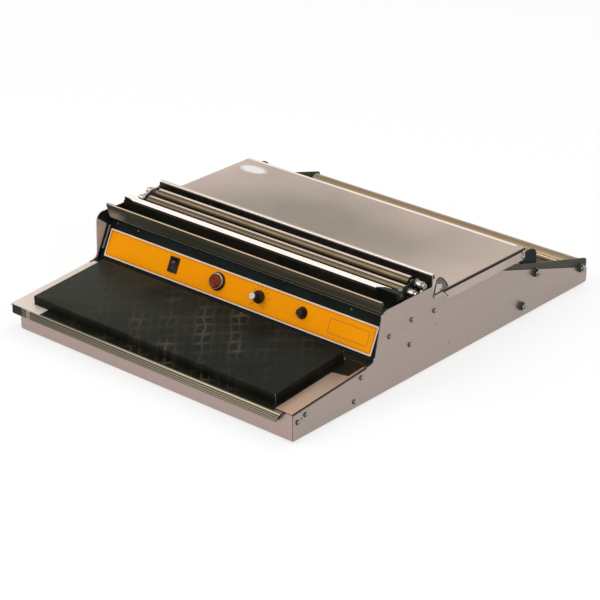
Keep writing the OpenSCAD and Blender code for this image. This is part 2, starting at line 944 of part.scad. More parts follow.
// Terminal block: five wire holes through it and five screw wells in its top
module terminal_block()
    color("ivory")
        place()
            translate([half_w - 92.5, back_y - 30, 2 * sheet])
                difference() {
                    cube([55, 18, 14]);
                    for (k = [0:4]) {
                        rod_y(6.5 + 10.5 * k, 5, 2, -1, 19);
                        translate([6.5 + 10.5 * k, 9, 8])
                            cylinder(r = 2.4, h = 8);
                    }
                }

// Cable gland in the bulkhead: a hexagon on each side and an open bore
gland_x = -half_w + 92.5;
gland_z = 75;
gland_r = 8;
gland_bore = 4;

module cable_gland()
    color("#1c1c1e")
        place()
            difference() {
                union() {
                    rod_y(gland_x, gland_z, gland_r, back_y - 8, back_y + 8);
                    translate([gland_x, back_y + sheet + 5, gland_z])
                        rotate([90, 0, 0])
                            cylinder(r = gland_r + 3, h = 5, $fn = 6);
                    translate([gland_x, back_y, gland_z])
                        rotate([90, 0, 0])
                            cylinder(r = gland_r + 3, h = 4, $fn = 6);
                    rod_y(gland_x, gland_z, gland_r - 1.5, back_y + 7, back_y + 18);
                }
                rod_y(gland_x, gland_z, gland_bore, back_y - 20, back_y + 30);
            }

// Cutter

// Guard in front of the cutter: an upright sheet on a foot flange, hemmed at its top, with its left end
// cut on the slant
module guard_bar() {
    top = head_z + guard_h;
    front = guard_y + guard_t;
    path = bent([
        [guard_y + 21, head_z + guard_t],
        [front, head_z + guard_t],
        [front, top - guard_t],
        [front + guard_hem, top - guard_t],
        [front + guard_hem, top - guard_t - 4]
    ], guard_hem / 2 - 0.05);
    color("#4a4a44")
        place()
            intersection() {
                along_x(-inner_w, inner_w)
                    polygon(strip(path, guard_t));
                along_y(guard_y - 1, guard_y + 40)
                    polygon([
                        [-inner_w + 10, head_z],
                        [inner_w - 2.5, head_z],
                        [inner_w - 2.5, top + 1],
                        [-inner_w + 1.8, top + 1]
                    ]);
            }
}

carrier_h = cutter_h - 4;
pad_w = cutter_w - 0.8;
band_w = 3;
band_t = 0.4;
strip_t = 0.3;
band_low = cutter_h - carrier_h - strip_t - band_t;    // band's underside above the carrier
carrier_half = inner_w - 2.5;

// Carrier rail: a foot flange and two upright walls that hold the pad
module cutter_carrier()
    color("silver")
        place()
            translate([0, cutter_y, head_z])
                along_x(-carrier_half, carrier_half)
                    difference() {
                        translate([-cutter_w / 2 + 0.5, 0])
                            square([cutter_w - 1, carrier_h]);
                        translate([-cutter_w / 2 + 2, carrier_h / 2 - 2])
                            square([cutter_w - 4, 5]);
                    }

// Insulating pad with a groove for the band
module cutter_pad()
    color("saddlebrown")
        place()
            translate([0, cutter_y, head_z + carrier_h])
                along_x(-carrier_half + 18, carrier_half - 8)
                    difference() {
                        translate([-pad_w / 2, 0])
                            square([pad_w, cutter_h - carrier_h - strip_t]);
                        translate([-band_w / 2 - 0.1, cutter_h - carrier_h - strip_t - band_t])
                            square([band_w + 0.2, 1]);
                    }

module cutter_band()
    color("lightgray")
        place()
            translate([-carrier_half + 14, cutter_y - band_w / 2, head_z + cutter_h - strip_t - band_t])
                cube([2 * carrier_half - 18, band_w, band_t]);

// Non-stick strip folded over the pad
module cutter_strip()
    color("whitesmoke")
        place()
            translate([0, cutter_y, head_z])
                along_x(-carrier_half + 19, carrier_half - 12)
                    polygon(strip([
                        [-pad_w / 2, carrier_h + 0.5],
                        [-pad_w / 2, cutter_h - strip_t],
                        [pad_w / 2, cutter_h - strip_t],
                        [pad_w / 2, carrier_h + 0.5]
                    ], strip_t));

// Posts that clamp the band at the right and hold the spring at the left
module cutter_terminals()
    color("goldenrod")
        place()
            translate([0, cutter_y, head_z + carrier_h]) {
                difference() {
                    translate([carrier_half - 7.5, -3.5, 0])
                        cube([7, 7, cutter_h - carrier_h + 0.6]);
                    translate([carrier_half - 9, -band_w / 2 - 0.1, band_low - 0.1])
                        cube([6, band_w + 0.2, band_t + 0.2]);
                }
                translate([-carrier_half, -3, 0])
                    cube([2, 6, cutter_h - carrier_h + 0.6]);
                translate([-carrier_half + 12.5, -2, cutter_h - carrier_h - strip_t - 2.5])
                    cube([2, 4, 2.1]);
            }

// Closed tube along a list of rings, each a list of points
function sweep_faces(rings, sides) = [
    [for (j = [sides - 1:-1:0]) j],
    for (i = [0:rings - 2], j = [0:sides - 1])
        [i * sides + j, i * sides + (j + 1) % sides, (i + 1) * sides + (j + 1) % sides, (i + 1) * sides + j],
    [for (j = [0:sides - 1]) (rings - 1) * sides + j]
];

// Small spring that keeps the band taut as it warms
module tension_spring() {
    turns = 6;
    steps = 9;
    sides = 6;
    coil_r = 1.9;
    wire_r = 0.35;
    length = 9.6;
    rings = turns * steps + 1;
    points = [
        for (i = [0:rings - 1], j = [0:sides - 1])
            let (
                a = 360 * i / steps,
                x = length * i / (rings - 1),
                b = 360 * j / sides,
                r = coil_r + wire_r * cos(b)
            )
            [x + wire_r * sin(b), r * cos(a), r * sin(a)]
    ];
    color("silver")
        place()
            translate([-carrier_half + 2.45, cutter_y, head_z + cutter_h - strip_t - 1.4])
                polyhedron(points, sweep_faces(rings, sides), convexity = 8);
}

// Film guide rollers

// Tube of a roller at [y, z]
module roller_tube(p, r, wall, reach)
    difference() {
        rod(p, r, -reach, reach);
        rod(p, r - wall, -reach - 1, reach + 1);
    }

// Bush at each end of a roller
module roller_bushes(p, r, bore, reach)
    both_sides()
        difference() {
            rod(p, r, reach - bush_len, reach + 0.8);
            rod(p, bore, reach - bush_len - 1, reach + 2);
        }

module nip_bracket()
    difference() {
        union() {
            along_x(mount_x, mount_x + mount_t)
                polygon(rounded([
                    [back_y + sheet, head_z - mount_foot, 0],
                    [back_y + 24, head_z - mount_foot + 4, 5],
                    [nip_rear[0] + 9, nip_rear[1] - 12, 5],
                    [nip_rear[0] + 8.5, nip_rear[1] + 6.5, 6],
                    [nip_rear[0] - 8, nip_rear[1] + 7, 5],
                    [nip_front[0] - 8.5, nip_front[1] + 7, 6],
                    [nip_front[0] - 9, head_z + 2.5, 2],
                    [back_y + sheet, head_z - 4, 0]
                ]));
            translate([mount_x - 10, back_y + sheet, head_z - mount_foot + 2])
                cube([11, 1.6, mount_foot - 6]);
        }
        rod(nip_front, nip_axle / 2 + fit, mount_x - 1, mount_x + mount_t + 1);
        rod(nip_rear, nip_axle / 2 + fit, mount_x - 1, mount_x + mount_t + 1);
    }

module nip_bracket_right()
    color("#2b2e30")
        place()
            nip_bracket();

module nip_bracket_left()
    color("#2b2e30")
        place()
            mirror([1, 0, 0])
                nip_bracket();

module nip_axles()
    color("silver")
        place()
            for (p = [nip_front, nip_rear])
                rod(p, nip_axle / 2, -inner_w + clear, inner_w - clear);

// Collars between the brackets and the side panels
module nip_spacers()
    color("lightgray")
        place()
            both_sides()
                for (p = [nip_front, nip_rear])
                    difference() {
                        union() {
                            rod(p, nip_axle / 2 + 1.5, mount_x + mount_t, inner_w - 4);
                            rod(p, nip_axle / 2 + 2.6, mount_x + mount_t, mount_x + mount_t + 1.2);
                        }
                        rod(p, nip_axle / 2 + fit, mount_x, inner_w);
                    }

module nip_roller_front()
    color("lightgray")
        place()
            roller_tube(nip_front, nip_dia / 2, nip_wall, front_reach);

module nip_roller_rear()
    color("lightgray")
        place()
            roller_tube(nip_rear, nip_dia / 2, nip_wall, rear_reach);

module nip_bushes_front()
    color("#1c1c1e")
        place()
            roller_bushes(nip_front, nip_dia / 2 - nip_wall - 0.02, nip_axle / 2 + fit, front_reach);

module nip_bushes_rear()
    color("#1c1c1e")
        place()
            roller_bushes(nip_rear, nip_dia / 2 - nip_wall - 0.02, nip_axle / 2 + fit, rear_reach);

// Film roll cradle

module roller_bracket()
    difference() {
        union() {
            along_x(face_w, inner_w)
                polygon(rounded([
                    [bracket_front, 34, 6],
                    [bracket_front, min(bracket_z(bracket_front), seat_h - 2), 6],
                    [bracket_rear, bracket_z(bracket_rear), 5],
                    [bracket_rear, sheet, 3],
                    [bracket_toe, sheet, 6]
                ]));
            translate([face_w - bracket_foot, bracket_toe + 10, sheet])
                cube([bracket_foot + bracket_t / 4, body_d - bracket_toe - 20, bracket_t]);
        }
        shanks([cradle_front, cradle_rear, tie], stud / 2 + fit, face_w - 1, inner_w + 1);
    }

module roller_bracket_right()
    color("#55594f")
        place()
            roller_bracket();

module roller_bracket_left()
    color("#55594f")
        place()
            mirror([1, 0, 0])
                roller_bracket();

// Axle between the brackets with a stud at each end that carries a nut outside
module stud_axle(p, r) {
    rod(p, r, -face_w, face_w);
    rod(p, stud / 2, -stud_end, stud_end);
}

module cradle_axles()
    color("silver")
        place() {
            stud_axle(cradle_front, cradle_axle / 2);
            stud_axle(cradle_rear, cradle_axle / 2);
        }

module tie_rod()
    color("silver")
        place()
            stud_axle(tie, 5);

// Cradle roller: a tube closed at both ends by hubs that run on the axle
module cradle_roller(p)
    difference() {
        rod(p, cradle_dia / 2, -cradle_reach, cradle_reach);
        rod(p, cradle_dia / 2 - cradle_wall, -cradle_reach + 6, cradle_reach - 6);
        rod(p, cradle_axle / 2 + fit, -cradle_reach - 1, cradle_reach + 1);
    }

module cradle_roller_front()
    color("tan")
        place()
            cradle_roller(cradle_front);

module cradle_roller_rear()
    color("tan")
        place()
            cradle_roller(cradle_rear);

// Washer and hexagon nut on each stud
module axle_nuts()
    color("silver")
        place()
            both_sides()
                for (p = [cradle_front, cradle_rear, tie])
                    difference() {
                        union() {
                            rod(p, nut_w / 2 + 0.8, half_w, half_w + washer_t);
                            translate([half_w + washer_t, p[0], p[1]])
                                rotate([0, 90, 0])
                                    cylinder(r = nut_w / 2 / cos(30), h = nut_t, $fn = 6);
                        }
                        rod(p, stud / 2 + fit, half_w - 1, stud_end + 1);
                    }

// Work table

// Flat sheet folded down along its sides, outside the side panels, and along its rear
module deck()
    color("silver")
        place()
            intersection() {
                union() {
                    along_y(deck_start, tail_y)
                        polygon(strip(bent([
                            [-half_w - clear, deck_low - deck_flange],
                            [-half_w - clear, deck_low],
                            [half_w + clear, deck_low],
                            [half_w + clear, deck_low - deck_flange]
                        ], 1), sheet));
                    along_x(-ear_x + 2, ear_x - 2)
                        polygon(strip(bent([
                            [tail_y - 15, deck_low],
                            [tail_y - sheet, deck_low],
                            [tail_y - sheet, deck_low - 10]
                        ], 1), sheet));
                }
                along_x(-deck_half - 1, deck_half + 1)
                    polygon([
                        [deck_start, deck_h - 6],
                        [deck_start, deck_h + 1],
                        [tail_y + 1, deck_h + 1],
                        [tail_y + 1, deck_low - deck_flange + 4],
                        [tail_y - 5, deck_low - deck_flange - 1],
                        [deck_start + 32, deck_low - deck_flange - 1],
                        [deck_start + 15, deck_h - 6]
                    ]);
            }

// Bar along the front of the work table, hemmed at its top
module deck_bar() {
    r = sheet + 0.2;
    hem = 2 * r + 0.2;
    color("gainsboro")
        place()
            along_x(-bar_half, bar_half)
                polygon(strip(bent([
                    [bar_y - 4.2, deck_h],
                    [bar_y, deck_h],
                    [bar_y, deck_h + bar_h],
                    [bar_y + hem, deck_h + bar_h],
                    [bar_y + hem, deck_h + bar_h - 7]
                ], r), sheet));
}

// Black wiper along the face of the bar
module deck_trim()
    color("#1c1c1e")
        place()
            translate([-bar_half + 0.5, bar_y - sheet - 2, deck_h + sheet + 0.5])
                cube([2 * bar_half - 1, 2, bar_h - sheet - 1.5]);

// Finger tabs at the front corners of the work table
module deck_tabs()
    color("gainsboro")
        place()
            both_sides() {
                along_x(deck_half - 2.4, deck_half - 1.2)
                    polygon(rounded([
                        [deck_start + 1, deck_h, 0],
                        [deck_start + 11, deck_h + 17, 4],
                        [deck_start + 24, deck_h + 11, 4],
                        [deck_start + 28, deck_h, 0]
                    ]));
                translate([bar_half + 0.5, deck_start + 12, deck_h])
                    cube([deck_half - 2 - bar_half, 1.2, 11]);
            }

// Hinge ears: a lobe behind the work table, bored for the front cradle axle
module deck_hinges()
    color("#1f2524")
        place()
            both_sides()
                difference() {
                    union() {
                        along_x(ear_x, ear_x + ear_t)
                            union() {
                                translate(cradle_front)
                                    circle(r = lobe_r);
                                polygon(rounded([
                                    [axle_y - lobe_r + 0.1, cradle_front[1], 0],
                                    [tail_y - 12, deck_low - 14, 4],
                                    [tail_y - 12, deck_low, 0],
                                    [tail_y - 2, deck_low, 0],
                                    [tail_y + 5, deck_low - 10, 2],
                                    [axle_y + 4.5, deck_low - 10, 11],
                                    [axle_y + lobe_r - 0.1, cradle_front[1], 0]
                                ]));
                            }
                        translate([ear_x + 1, tail_y - 11, deck_low - 14])
                            cube([half_w + clear - ear_x - 1, 9, 12.8]);
                    }
                    rod(cradle_front, cradle_axle / 2 + fit, ear_x - 1, ear_x + ear_t + 1);
                    shanks(deck_screw_at, 1.5 + fit, ear_x - 1, deck_half + 1);
                }

// Screws

// Pan head with a cross recess, its seat at x = 0
module pan_head(r, h)
    difference() {
        rotate([0, 90, 0])
            rotate_extrude($fn = 24)
                polygon([[0, 0], [r, 0], [r, h * 0.45], [r * 0.72, h * 0.88], [r * 0.35, h], [0, h]]);
        for (a = [0, 90])
            rotate([a + 20, 0, 0])
                translate([h * 0.75, -r * 0.5, -r * 0.11])
                    cube([h, r, r * 0.22]);
    }

module deck_screws()
    color("silver")
        place()
            both_sides()
                for (p = deck_screw_at)
                    translate([deck_half, p[0], p[1]])
                        pan_head(2.8, 1.8);

module side_screws()
    color("silver")
        place()
            both_sides()
                for (p = all_screws) {
                    translate([half_w, p[0], p[1]])
                        pan_head(screw_head / 2, screw_rise);
                    rod(p, shank / 2, half_w - shank_len, half_w + 0.2);
                }

module panel_screws()
    color("silver")
        place()
            for (x = panel_screw_x)
                on_face(x, panel_screw_s) {
                    rotate([0, -90, 0])
                        pan_head(2.2, 1.3);
                    translate([0, 0, -6])
                        cylinder(r = 1.5, h = 6.2);
                }

// Rubber feet under the sole flanges, each with a plug in its hole
module feet()
    color("#202020")
        place()
            both_sides()
                for (y = [45, body_d - 55])
                    translate([half_w - foot_dia / 2 - 5.5, y, -foot_h])
                        difference() {
                            cylinder(r = foot_dia / 2, h = foot_h);
                            translate([0, 0, -1])
                                cylinder(r = 3, h = 2);
                        }

side_panel_right();
side_panel_left();
front_panel();
base_plate();
rear_bulkhead();
table_plate();
hot_plate();
plate_cover();
heating_element();
element_clamps();
sensor_bulb();
control_panel();
control_overlay();
switch_frame();
switch_rocker();
lamp_bezel();
lamp_ring();
lamp_lens();
thermostat();
thermostat_shaft();
knob();
knob_cap();
fuse_holder();
fuse_cap();
fuse();
transformer_core();
transformer_coil();
terminal_block();
cable_gland();
guard_bar();
cutter_carrier();
cutter_pad();
cutter_band();
cutter_strip();
cutter_terminals();
tension_spring();
nip_bracket_right();
nip_bracket_left();
nip_axles();
nip_spacers();
nip_roller_front();
nip_roller_rear();
nip_bushes_front();
nip_bushes_rear();
roller_bracket_right();
roller_bracket_left();
cradle_axles();
cradle_roller_front();
cradle_roller_rear();
tie_rod();
axle_nuts();
deck();
deck_bar();
deck_trim();
deck_tabs();
deck_hinges();
deck_screws();
side_screws();
panel_screws();
feet();
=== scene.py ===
import logging
import math
from collections.abc import Callable, Iterable, Sequence
from dataclasses import dataclass, field
from enum import Enum
from functools import cached_property, reduce
from typing import Any

import bmesh
import bpy
from mathutils import Matrix, Vector


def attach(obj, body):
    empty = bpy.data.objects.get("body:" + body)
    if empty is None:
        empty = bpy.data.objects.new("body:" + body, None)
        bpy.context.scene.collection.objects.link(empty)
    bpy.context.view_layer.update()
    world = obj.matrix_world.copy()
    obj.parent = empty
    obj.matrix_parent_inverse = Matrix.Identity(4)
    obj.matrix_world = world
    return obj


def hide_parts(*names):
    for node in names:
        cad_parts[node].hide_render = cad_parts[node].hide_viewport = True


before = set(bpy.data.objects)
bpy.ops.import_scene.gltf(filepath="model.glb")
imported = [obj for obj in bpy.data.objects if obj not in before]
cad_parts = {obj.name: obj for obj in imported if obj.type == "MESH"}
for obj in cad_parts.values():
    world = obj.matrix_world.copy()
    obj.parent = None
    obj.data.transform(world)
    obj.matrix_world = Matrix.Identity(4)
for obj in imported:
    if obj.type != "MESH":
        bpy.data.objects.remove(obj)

log = logging.getLogger("film_wrapper")

Colour = tuple[float, float, float]
Point = tuple[float, float, float]
Path = Sequence[tuple[float, float]]
Band = tuple[float, Colour]
Node = bpy.types.Node
Socket = bpy.types.NodeSocket

HOUSING = "housing"
WORK_TABLE = "work_table"
KNOB = "thermostat_knob"
ROCKER = "rocker"


def tone(red: int, green: int, blue: int) -> Colour:
    """Turns a screen colour into a linear one.

    Args:
        red: Red from 0 to 255.
        green: Green from 0 to 255.
        blue: Blue from 0 to 255.

    Returns:
        The linear red, green and blue.
    """
    def linear(level: int) -> float:
        """Returns one linear channel."""
        share = level / 255
        return share / 12.92 if share <= 0.04045 else ((share + 0.055) / 1.055) ** 2.4

    return linear(red), linear(green), linear(blue)


def scaled(colour: Colour, factor: float, lift: float = 0.0) -> Colour:
    """Returns a colour times a factor, lifted by an even amount."""
    return tuple(channel * factor + lift for channel in colour)


# Sizes shared with the solids


@dataclass(frozen=True)
class Drawing:
    """Sizes of the machine in millimetres, heights measured from the side panels' bottom edge."""

    half_width: float = 242.5
    sheet: float = 1.2
    foot_height: float = 3.0
    middle_y: float = 304.5
    front_height: float = 36.0
    rim_angle: float = 4.6
    face_lean: float = 25.0
    foot_y: float = 155.0
    label_foot: float = 3.6
    label_height: float = 38.5
    label_width: float = 466.0
    label_thickness: float = 0.5
    control_height: float = 24.85
    deck_height: float = 101.0
    cutter_y: float = 207.48
    cutter_top: float = 120.76

    def depth(self, y: float) -> float:
        """Returns a drawing depth in the frame's metres."""
        return (y - self.middle_y) / 1000

    def level(self, z: float) -> float:
        """Returns a drawing height in the frame's metres."""
        return (z + self.foot_height) / 1000

    def place(self, x: float, y: float, z: float) -> Vector:
        """Returns a drawing point in the frame's metres."""
        return Vector((x / 1000, self.depth(y), self.level(z)))

    def at(self, x: float, y: float, z: float) -> Matrix:
        """Returns the matrix of a drawing point, square to the frame."""
        return Matrix.Translation(self.place(x, y, z))

    def rim_height(self, y: float) -> float:
        """Returns the height of the sealing table's rim at a depth."""
        return self.front_height + y * math.tan(math.radians(self.rim_angle))

    def on_rim(self) -> Matrix:
        """Returns the matrix of the sealing table: x across, y up the slope, z off the table."""
        return self.at(0, 0, self.front_height) @ Matrix.Rotation(math.radians(self.rim_angle), 4, "X")

    def on_face(self, x: float, up: float) -> Matrix:
        """Returns the matrix of a spot on the control face.

        Args:
            x: Place across the machine.
            up: Distance up the face from its foot.

        Returns:
            A matrix whose x runs across, y up the face and z out of it.
        """
        lean = math.radians(self.face_lean)
        spot = self.at(
            x,
            self.foot_y + up * math.sin(lean),
            self.rim_height(self.foot_y) + up * math.cos(lean),
        )
        return spot @ Matrix.Rotation(math.radians(90) - lean, 4, "X")


DRAWING = Drawing()


# Shader nodes


class Net:
    """Places and joins shader nodes in one tree."""

    def __init__(self, tree: bpy.types.NodeTree) -> None:
        """Keeps the tree that the nodes go into."""
        self.tree = tree

    def add(self, kind: str, traits: dict[str, Any] | None = None, *first: Any, **named: Any) -> Node:
        """Adds a node.

        Args:
            kind: Blender's name of the node after the words ShaderNode.
            traits: Settings of the node itself.
            *first: Values or output sockets for its first inputs, in order.
            **named: The same for inputs by name; underscores stand for spaces.

        Returns:
            The new node.
        """
        node = self.tree.nodes.new(f"ShaderNode{kind}")
        for key, value in (traits or {}).items():
            setattr(node, key, value)
        for key, value in (*enumerate(first), *named.items()):
            self.feed(node, key if isinstance(key, int) else key.replace("_", " "), value)
        return node

    def feed(self, node: Node, socket: str | int, value: Any) -> None:
        """Sets an input socket, or joins it to an output socket.

        Args:
            node: The node.
            socket: Name or number of its input.
            value: A value, or the output that the input takes.
        """
        target = node.inputs[socket]
        if isinstance(value, Socket):
            self.tree.links.new(value, target)
        elif isinstance(value, tuple) and len(value) == 3 and target.type == "RGBA":
            target.default_value = (*value, 1.0)
        else:
            target.default_value = value

    def blend(self, share: Any, first: Any, second: Any) -> Socket:
        """Mixes two colours.

        Args:
            share: Share of the second colour.
            first: The first colour.
            second: The second colour.

        Returns:
            The output socket.
        """
        node = self.add("Mix", {"data_type": "RGBA"})
        for index, value in ((0, share), (6, first), (7, second)):
            self.feed(node, index, value)
        return node.outputs[2]

    def span(self, value: Any, low: float, high: float, start: float = 0.0, end: float = 1.0) -> Socket:
        """Maps a value from start..end to low..high and keeps it within those."""
        ends = {"From Min": start, "From Max": end, "To Min": low, "To Max": high}
        return self.add("MapRange", Value=value, **ends).outputs["Result"]

    def rise(self, value: Any, start: float, end: float) -> Socket:
        """Returns 0 up to the start, 1 from the end on, and what lies between them."""
        return self.span(value, 0.0, 1.0, start, end)

    def fade(self, value: Any, start: float, end: float) -> Socket:
        """Returns 1 up to the start, 0 from the end on, and what lies between them."""
        return self.span(value, 1.0, 0.0, start, end)

    def math(self, operation: str, first: Any, second: Any = 0.0) -> Socket:
        """Works out one operation on two values."""
        return self.add("Math", {"operation": operation}, first, second).outputs[0]

    def vectors(self, operation: str, first: Any, second: Any) -> Socket:
        """Works out a value from two vectors."""
        return self.add("VectorMath", {"operation": operation}, first, second).outputs["Value"]

    def plus(self, first: Any, second: Any) -> Socket:
        """Adds two values."""
        return self.math("ADD", first, second)

    def less(self, first: Any, second: Any) -> Socket:
        """Takes the second value from the first."""
        return self.math("SUBTRACT", first, second)

    def more(self, first: Any, second: Any) -> Socket:
        """Returns the greater of two values."""
        return self.math("MAXIMUM", first, second)

    def times(self, *factors: Any) -> Any:
        """Multiplies values; one alone stays as it is."""
        return reduce(lambda first, second: self.math("MULTIPLY", first, second), factors)

    def above(self, value: Any, level: float) -> Socket:
        """Returns 1 where a value is above a level, else 0."""
        return self.math("GREATER_THAN", value, level)

    def below(self, value: Any, level: float) -> Socket:
        """Returns 1 where a value is below a level, else 0."""
        return self.math("LESS_THAN", value, level)

    def within(self, value: Any, low: float, high: float) -> Socket:
        """Returns 1 where a value lies between two levels, else 0."""
        return self.times(self.above(value, low), self.below(value, high))

    def size(self, value: Any) -> Socket:
        """Returns a value without its sign."""
        return self.math("ABSOLUTE", value)

    def wave(self, run: Any, pitch: float) -> Socket:
        """Returns a sine along a run, one turn to each pitch."""
        return self.math("SINE", self.times(run, math.tau / pitch))

    def noise(self, vector: Any, scale: Any, detail: float = 2.0, **sockets: Any) -> Socket:
        """Returns a cloudy noise from 0 to 1."""
        return self.add("TexNoise", Vector=vector, Scale=scale, Detail=detail, **sockets).outputs["Fac"]

    def parts(self, vector: Any) -> tuple[Socket, Socket, Socket]:
        """Returns a vector's x, y and z."""
        node = self.add("SeparateXYZ", Vector=vector)
        return node.outputs["X"], node.outputs["Y"], node.outputs["Z"]

    def ramp(self, value: Any, stops: Sequence[Band]) -> Socket:
        """Maps a value from 0 to 1 through colour stops.

        Args:
            value: The value.
            stops: Places from 0 to 1 and their colours.

        Returns:
            The output socket.
        """
        node = self.add("ValToRGB", Fac=value)
        elements = node.color_ramp.elements
        while len(elements) < len(stops):
            elements.new(0.5)
        for element, (place, colour) in zip(elements, stops):
            element.position = place
            element.color = (*colour, 1.0)
        return node.outputs["Color"]


class Effects:
    """The node groups that several finishes share, each built once."""

    def __init__(self) -> None:
        """Builds every group."""
        self.grain = self._grain()
        self.smudge = self._smudge()
        self.weave = self._weave()
        self.speckle = self._speckle()
        self.rub = self._rub()

    @staticmethod
    def _start(name: str, outputs: Iterable[str], **inputs: Any) -> tuple[Net, Any, Any]:
        """Makes an empty group that takes a place and a few values.

        Args:
            name: Name of the group.
            outputs: Names of the value outputs.
            **inputs: First value of each input; three numbers make it a vector.

        Returns:
            The net of the group, its input sockets and its output node.
        """
        tree = bpy.data.node_groups.new(name, "ShaderNodeTree")
        tree.interface.new_socket(name="Vector", in_out="INPUT", socket_type="NodeSocketVector")
        for key, value in inputs.items():
            kind = "NodeSocketVector" if isinstance(value, tuple) else "NodeSocketFloat"
            tree.interface.new_socket(name=key, in_out="INPUT", socket_type=kind).default_value = value
        for key in outputs:
            tree.interface.new_socket(name=key, in_out="OUTPUT", socket_type="NodeSocketFloat")
        return Net(tree), tree.nodes.new("NodeGroupInput").outputs, tree.nodes.new("NodeGroupOutput")

    def _grain(self) -> bpy.types.NodeTree:
        """Brushing: fine scratches stretched along one direction, with a slower drift in shade.

        Returns:
            The group.
        """
        net, given, made = self._start("brushed_grain", ("Scratch", "Drift"), Stretch=(900.0, 30.0, 900.0))
        fine = net.add("Mapping", Vector=given["Vector"], Scale=given["Stretch"]).outputs[0]
        net.feed(made, "Scratch", net.rise(net.noise(fine, 1.0, 4.0, Roughness=0.65), 0.3, 0.7))
        net.feed(made, "Drift", net.rise(net.noise(fine, 0.06), 0.3, 0.7))
        return net.tree

    def _smudge(self) -> bpy.types.NodeTree:
        """Wiped patches: soft clouds broken by a finer layer.

        Returns:
            The group.
        """
        net, given, made = self._start("wiped_patches", ("Mask",), Size=12.0)
        cloud = net.noise(given["Vector"], given["Size"], 5.0, Roughness=0.55, Distortion=0.6)
        finer = net.noise(given["Vector"], net.times(given["Size"], 7.0))
        both = net.plus(net.times(cloud, 0.8), net.times(finer, 0.2))
        net.feed(made, "Mask", net.rise(both, 0.36, 0.64))
        return net.tree

    def _weave(self) -> bpy.types.NodeTree:
        """Woven threads: two crossing sets of rounded ribs.

        Returns:
            The group.
        """
        net, given, made = self._start("woven_threads", ("Height",), Pitch=900.0)
        ribs = [
            net.add(
                "TexWave", {"wave_type": "BANDS", "bands_direction": direction},
                Vector=given["Vector"], Scale=given["Pitch"], Distortion=0.25, Detail=1.0,
            ).outputs["Fac"]
            for direction in ("X", "Y")
        ]
        net.feed(made, "Height", net.more(*ribs))
        return net.tree

    def _speckle(self) -> bpy.types.NodeTree:
        """Dust and small pits: scattered round dots.

        Returns:
            The group.
        """
        net, given, made = self._start("dust_specks", ("Mask",), Density=160.0, Dot=0.12)
        cells = net.add("TexVoronoi", Vector=given["Vector"], Scale=given["Density"])
        near = net.below(cells.outputs["Distance"], given["Dot"])
        some = net.add("SeparateColor", Color=cells.outputs["Color"])
        net.feed(made, "Mask", net.times(near, net.above(some.outputs[0], 0.6)))
        return net.tree

    def _rub(self) -> bpy.types.NodeTree:
        """Rubbed edges: where the rounded normal leaves the flat one, broken up by noise.

        Returns:
            The group.
        """
        net, given, made = self._start("rubbed_edges", ("Mask",), Radius=0.0006)
        rounded = net.add("Bevel", {"samples": 4}, Radius=given["Radius"]).outputs[0]
        flat = net.add("NewGeometry").outputs["True Normal"]
        edge = net.fade(net.vectors("DOT_PRODUCT", rounded, flat), 0.86, 0.99)
        patchy = net.span(net.noise(given["Vector"], 220.0, 3.0), 0.2, 1.0, 0.35, 0.65)
        net.feed(made, "Mask", net.times(edge, patchy))
        return net.tree


EFFECTS = Effects()


class Surface(Net):
    """A material's net, on whose colour one coat after another is laid."""

    def __init__(self, material: bpy.types.Material) -> None:
        """Keeps the material's shader and the place on the object.

        Args:
            material: The material.
        """
        super().__init__(material.node_tree)
        self.shader = material.node_tree.nodes["Principled BSDF"]
        self.place = self.add("TexCoord").outputs["Object"]
        self.base: Any = (0.0, 0.0, 0.0)

    @cached_property
    def spot(self) -> tuple[Socket, Socket, Socket]:
        """The place's x, y and z in metres."""
        return self.parts(self.place)

    @cached_property
    def facing(self) -> tuple[Socket, Socket, Socket]:
        """The x, y and z of the flat surface's normal."""
        return self.parts(self.add("NewGeometry").outputs["True Normal"])

    def effect(self, tree: bpy.types.NodeTree, **inputs: Any) -> bpy.types.bpy_prop_collection:
        """Places a shared group and returns its outputs."""
        node = self.add("Group", {"node_tree": tree}, Vector=self.place, **inputs)
        return node.outputs

    def wiped(self, size: float) -> Socket:
        """Returns the mask of wiped patches."""
        return self.effect(EFFECTS.smudge, Size=size)["Mask"]

    def rubbed(self, radius: float) -> Socket:
        """Returns the mask of rubbed edges."""
        return self.effect(EFFECTS.rub, Radius=radius)["Mask"]

    def dust(self, density: float, dot: float) -> Socket:
        """Returns the mask of dust specks."""
        return self.effect(EFFECTS.speckle, Density=density, Dot=dot)["Mask"]

    def cells(self, scale: float, **sockets: Any) -> Socket:
        """Returns the distance from the middles of scattered cells."""
        return self.add("TexVoronoi", Vector=self.place, Scale=scale, **sockets).outputs["Distance"]

    def lay(self, colour: Any, *shares: Any) -> None:
        """Lays a colour over the base, by the product of its shares."""
        self.base = self.blend(self.times(*shares), self.base, colour)

    def close(self, rough: Socket, gloss: float | None = None, metallic: float | None = None) -> None:
        """Hands the finished colour to the shader.

        Args:
            rough: Roughness over the surface.
            gloss: Level of the plain reflection, where it isn't the shader's own.
            metallic: Metallic share, where there is one.
        """
        self.feed(self.shader, "Base Color", self.base)
        self.feed(self.shader, "Roughness", rough)
        if gloss is not None:
            self.shader.inputs["Specular IOR Level"].default_value = gloss
        if metallic is not None:
            self.shader.inputs["Metallic"].default_value = metallic

    def bump(self, height: Socket, strength: float, depth: float) -> None:
        """Feeds a height to the shader's normal.

        Args:
            height: Height from 0 to 1.
            strength: Strength of the bump.
            depth: Real depth in metres.
        """
        node = self.add("Bump", Strength=strength, Distance=depth, Height=height)
        self.feed(self.shader, "Normal", node.outputs[0])


# Finishes

DUST: Colour = (0.3, 0.29, 0.27)


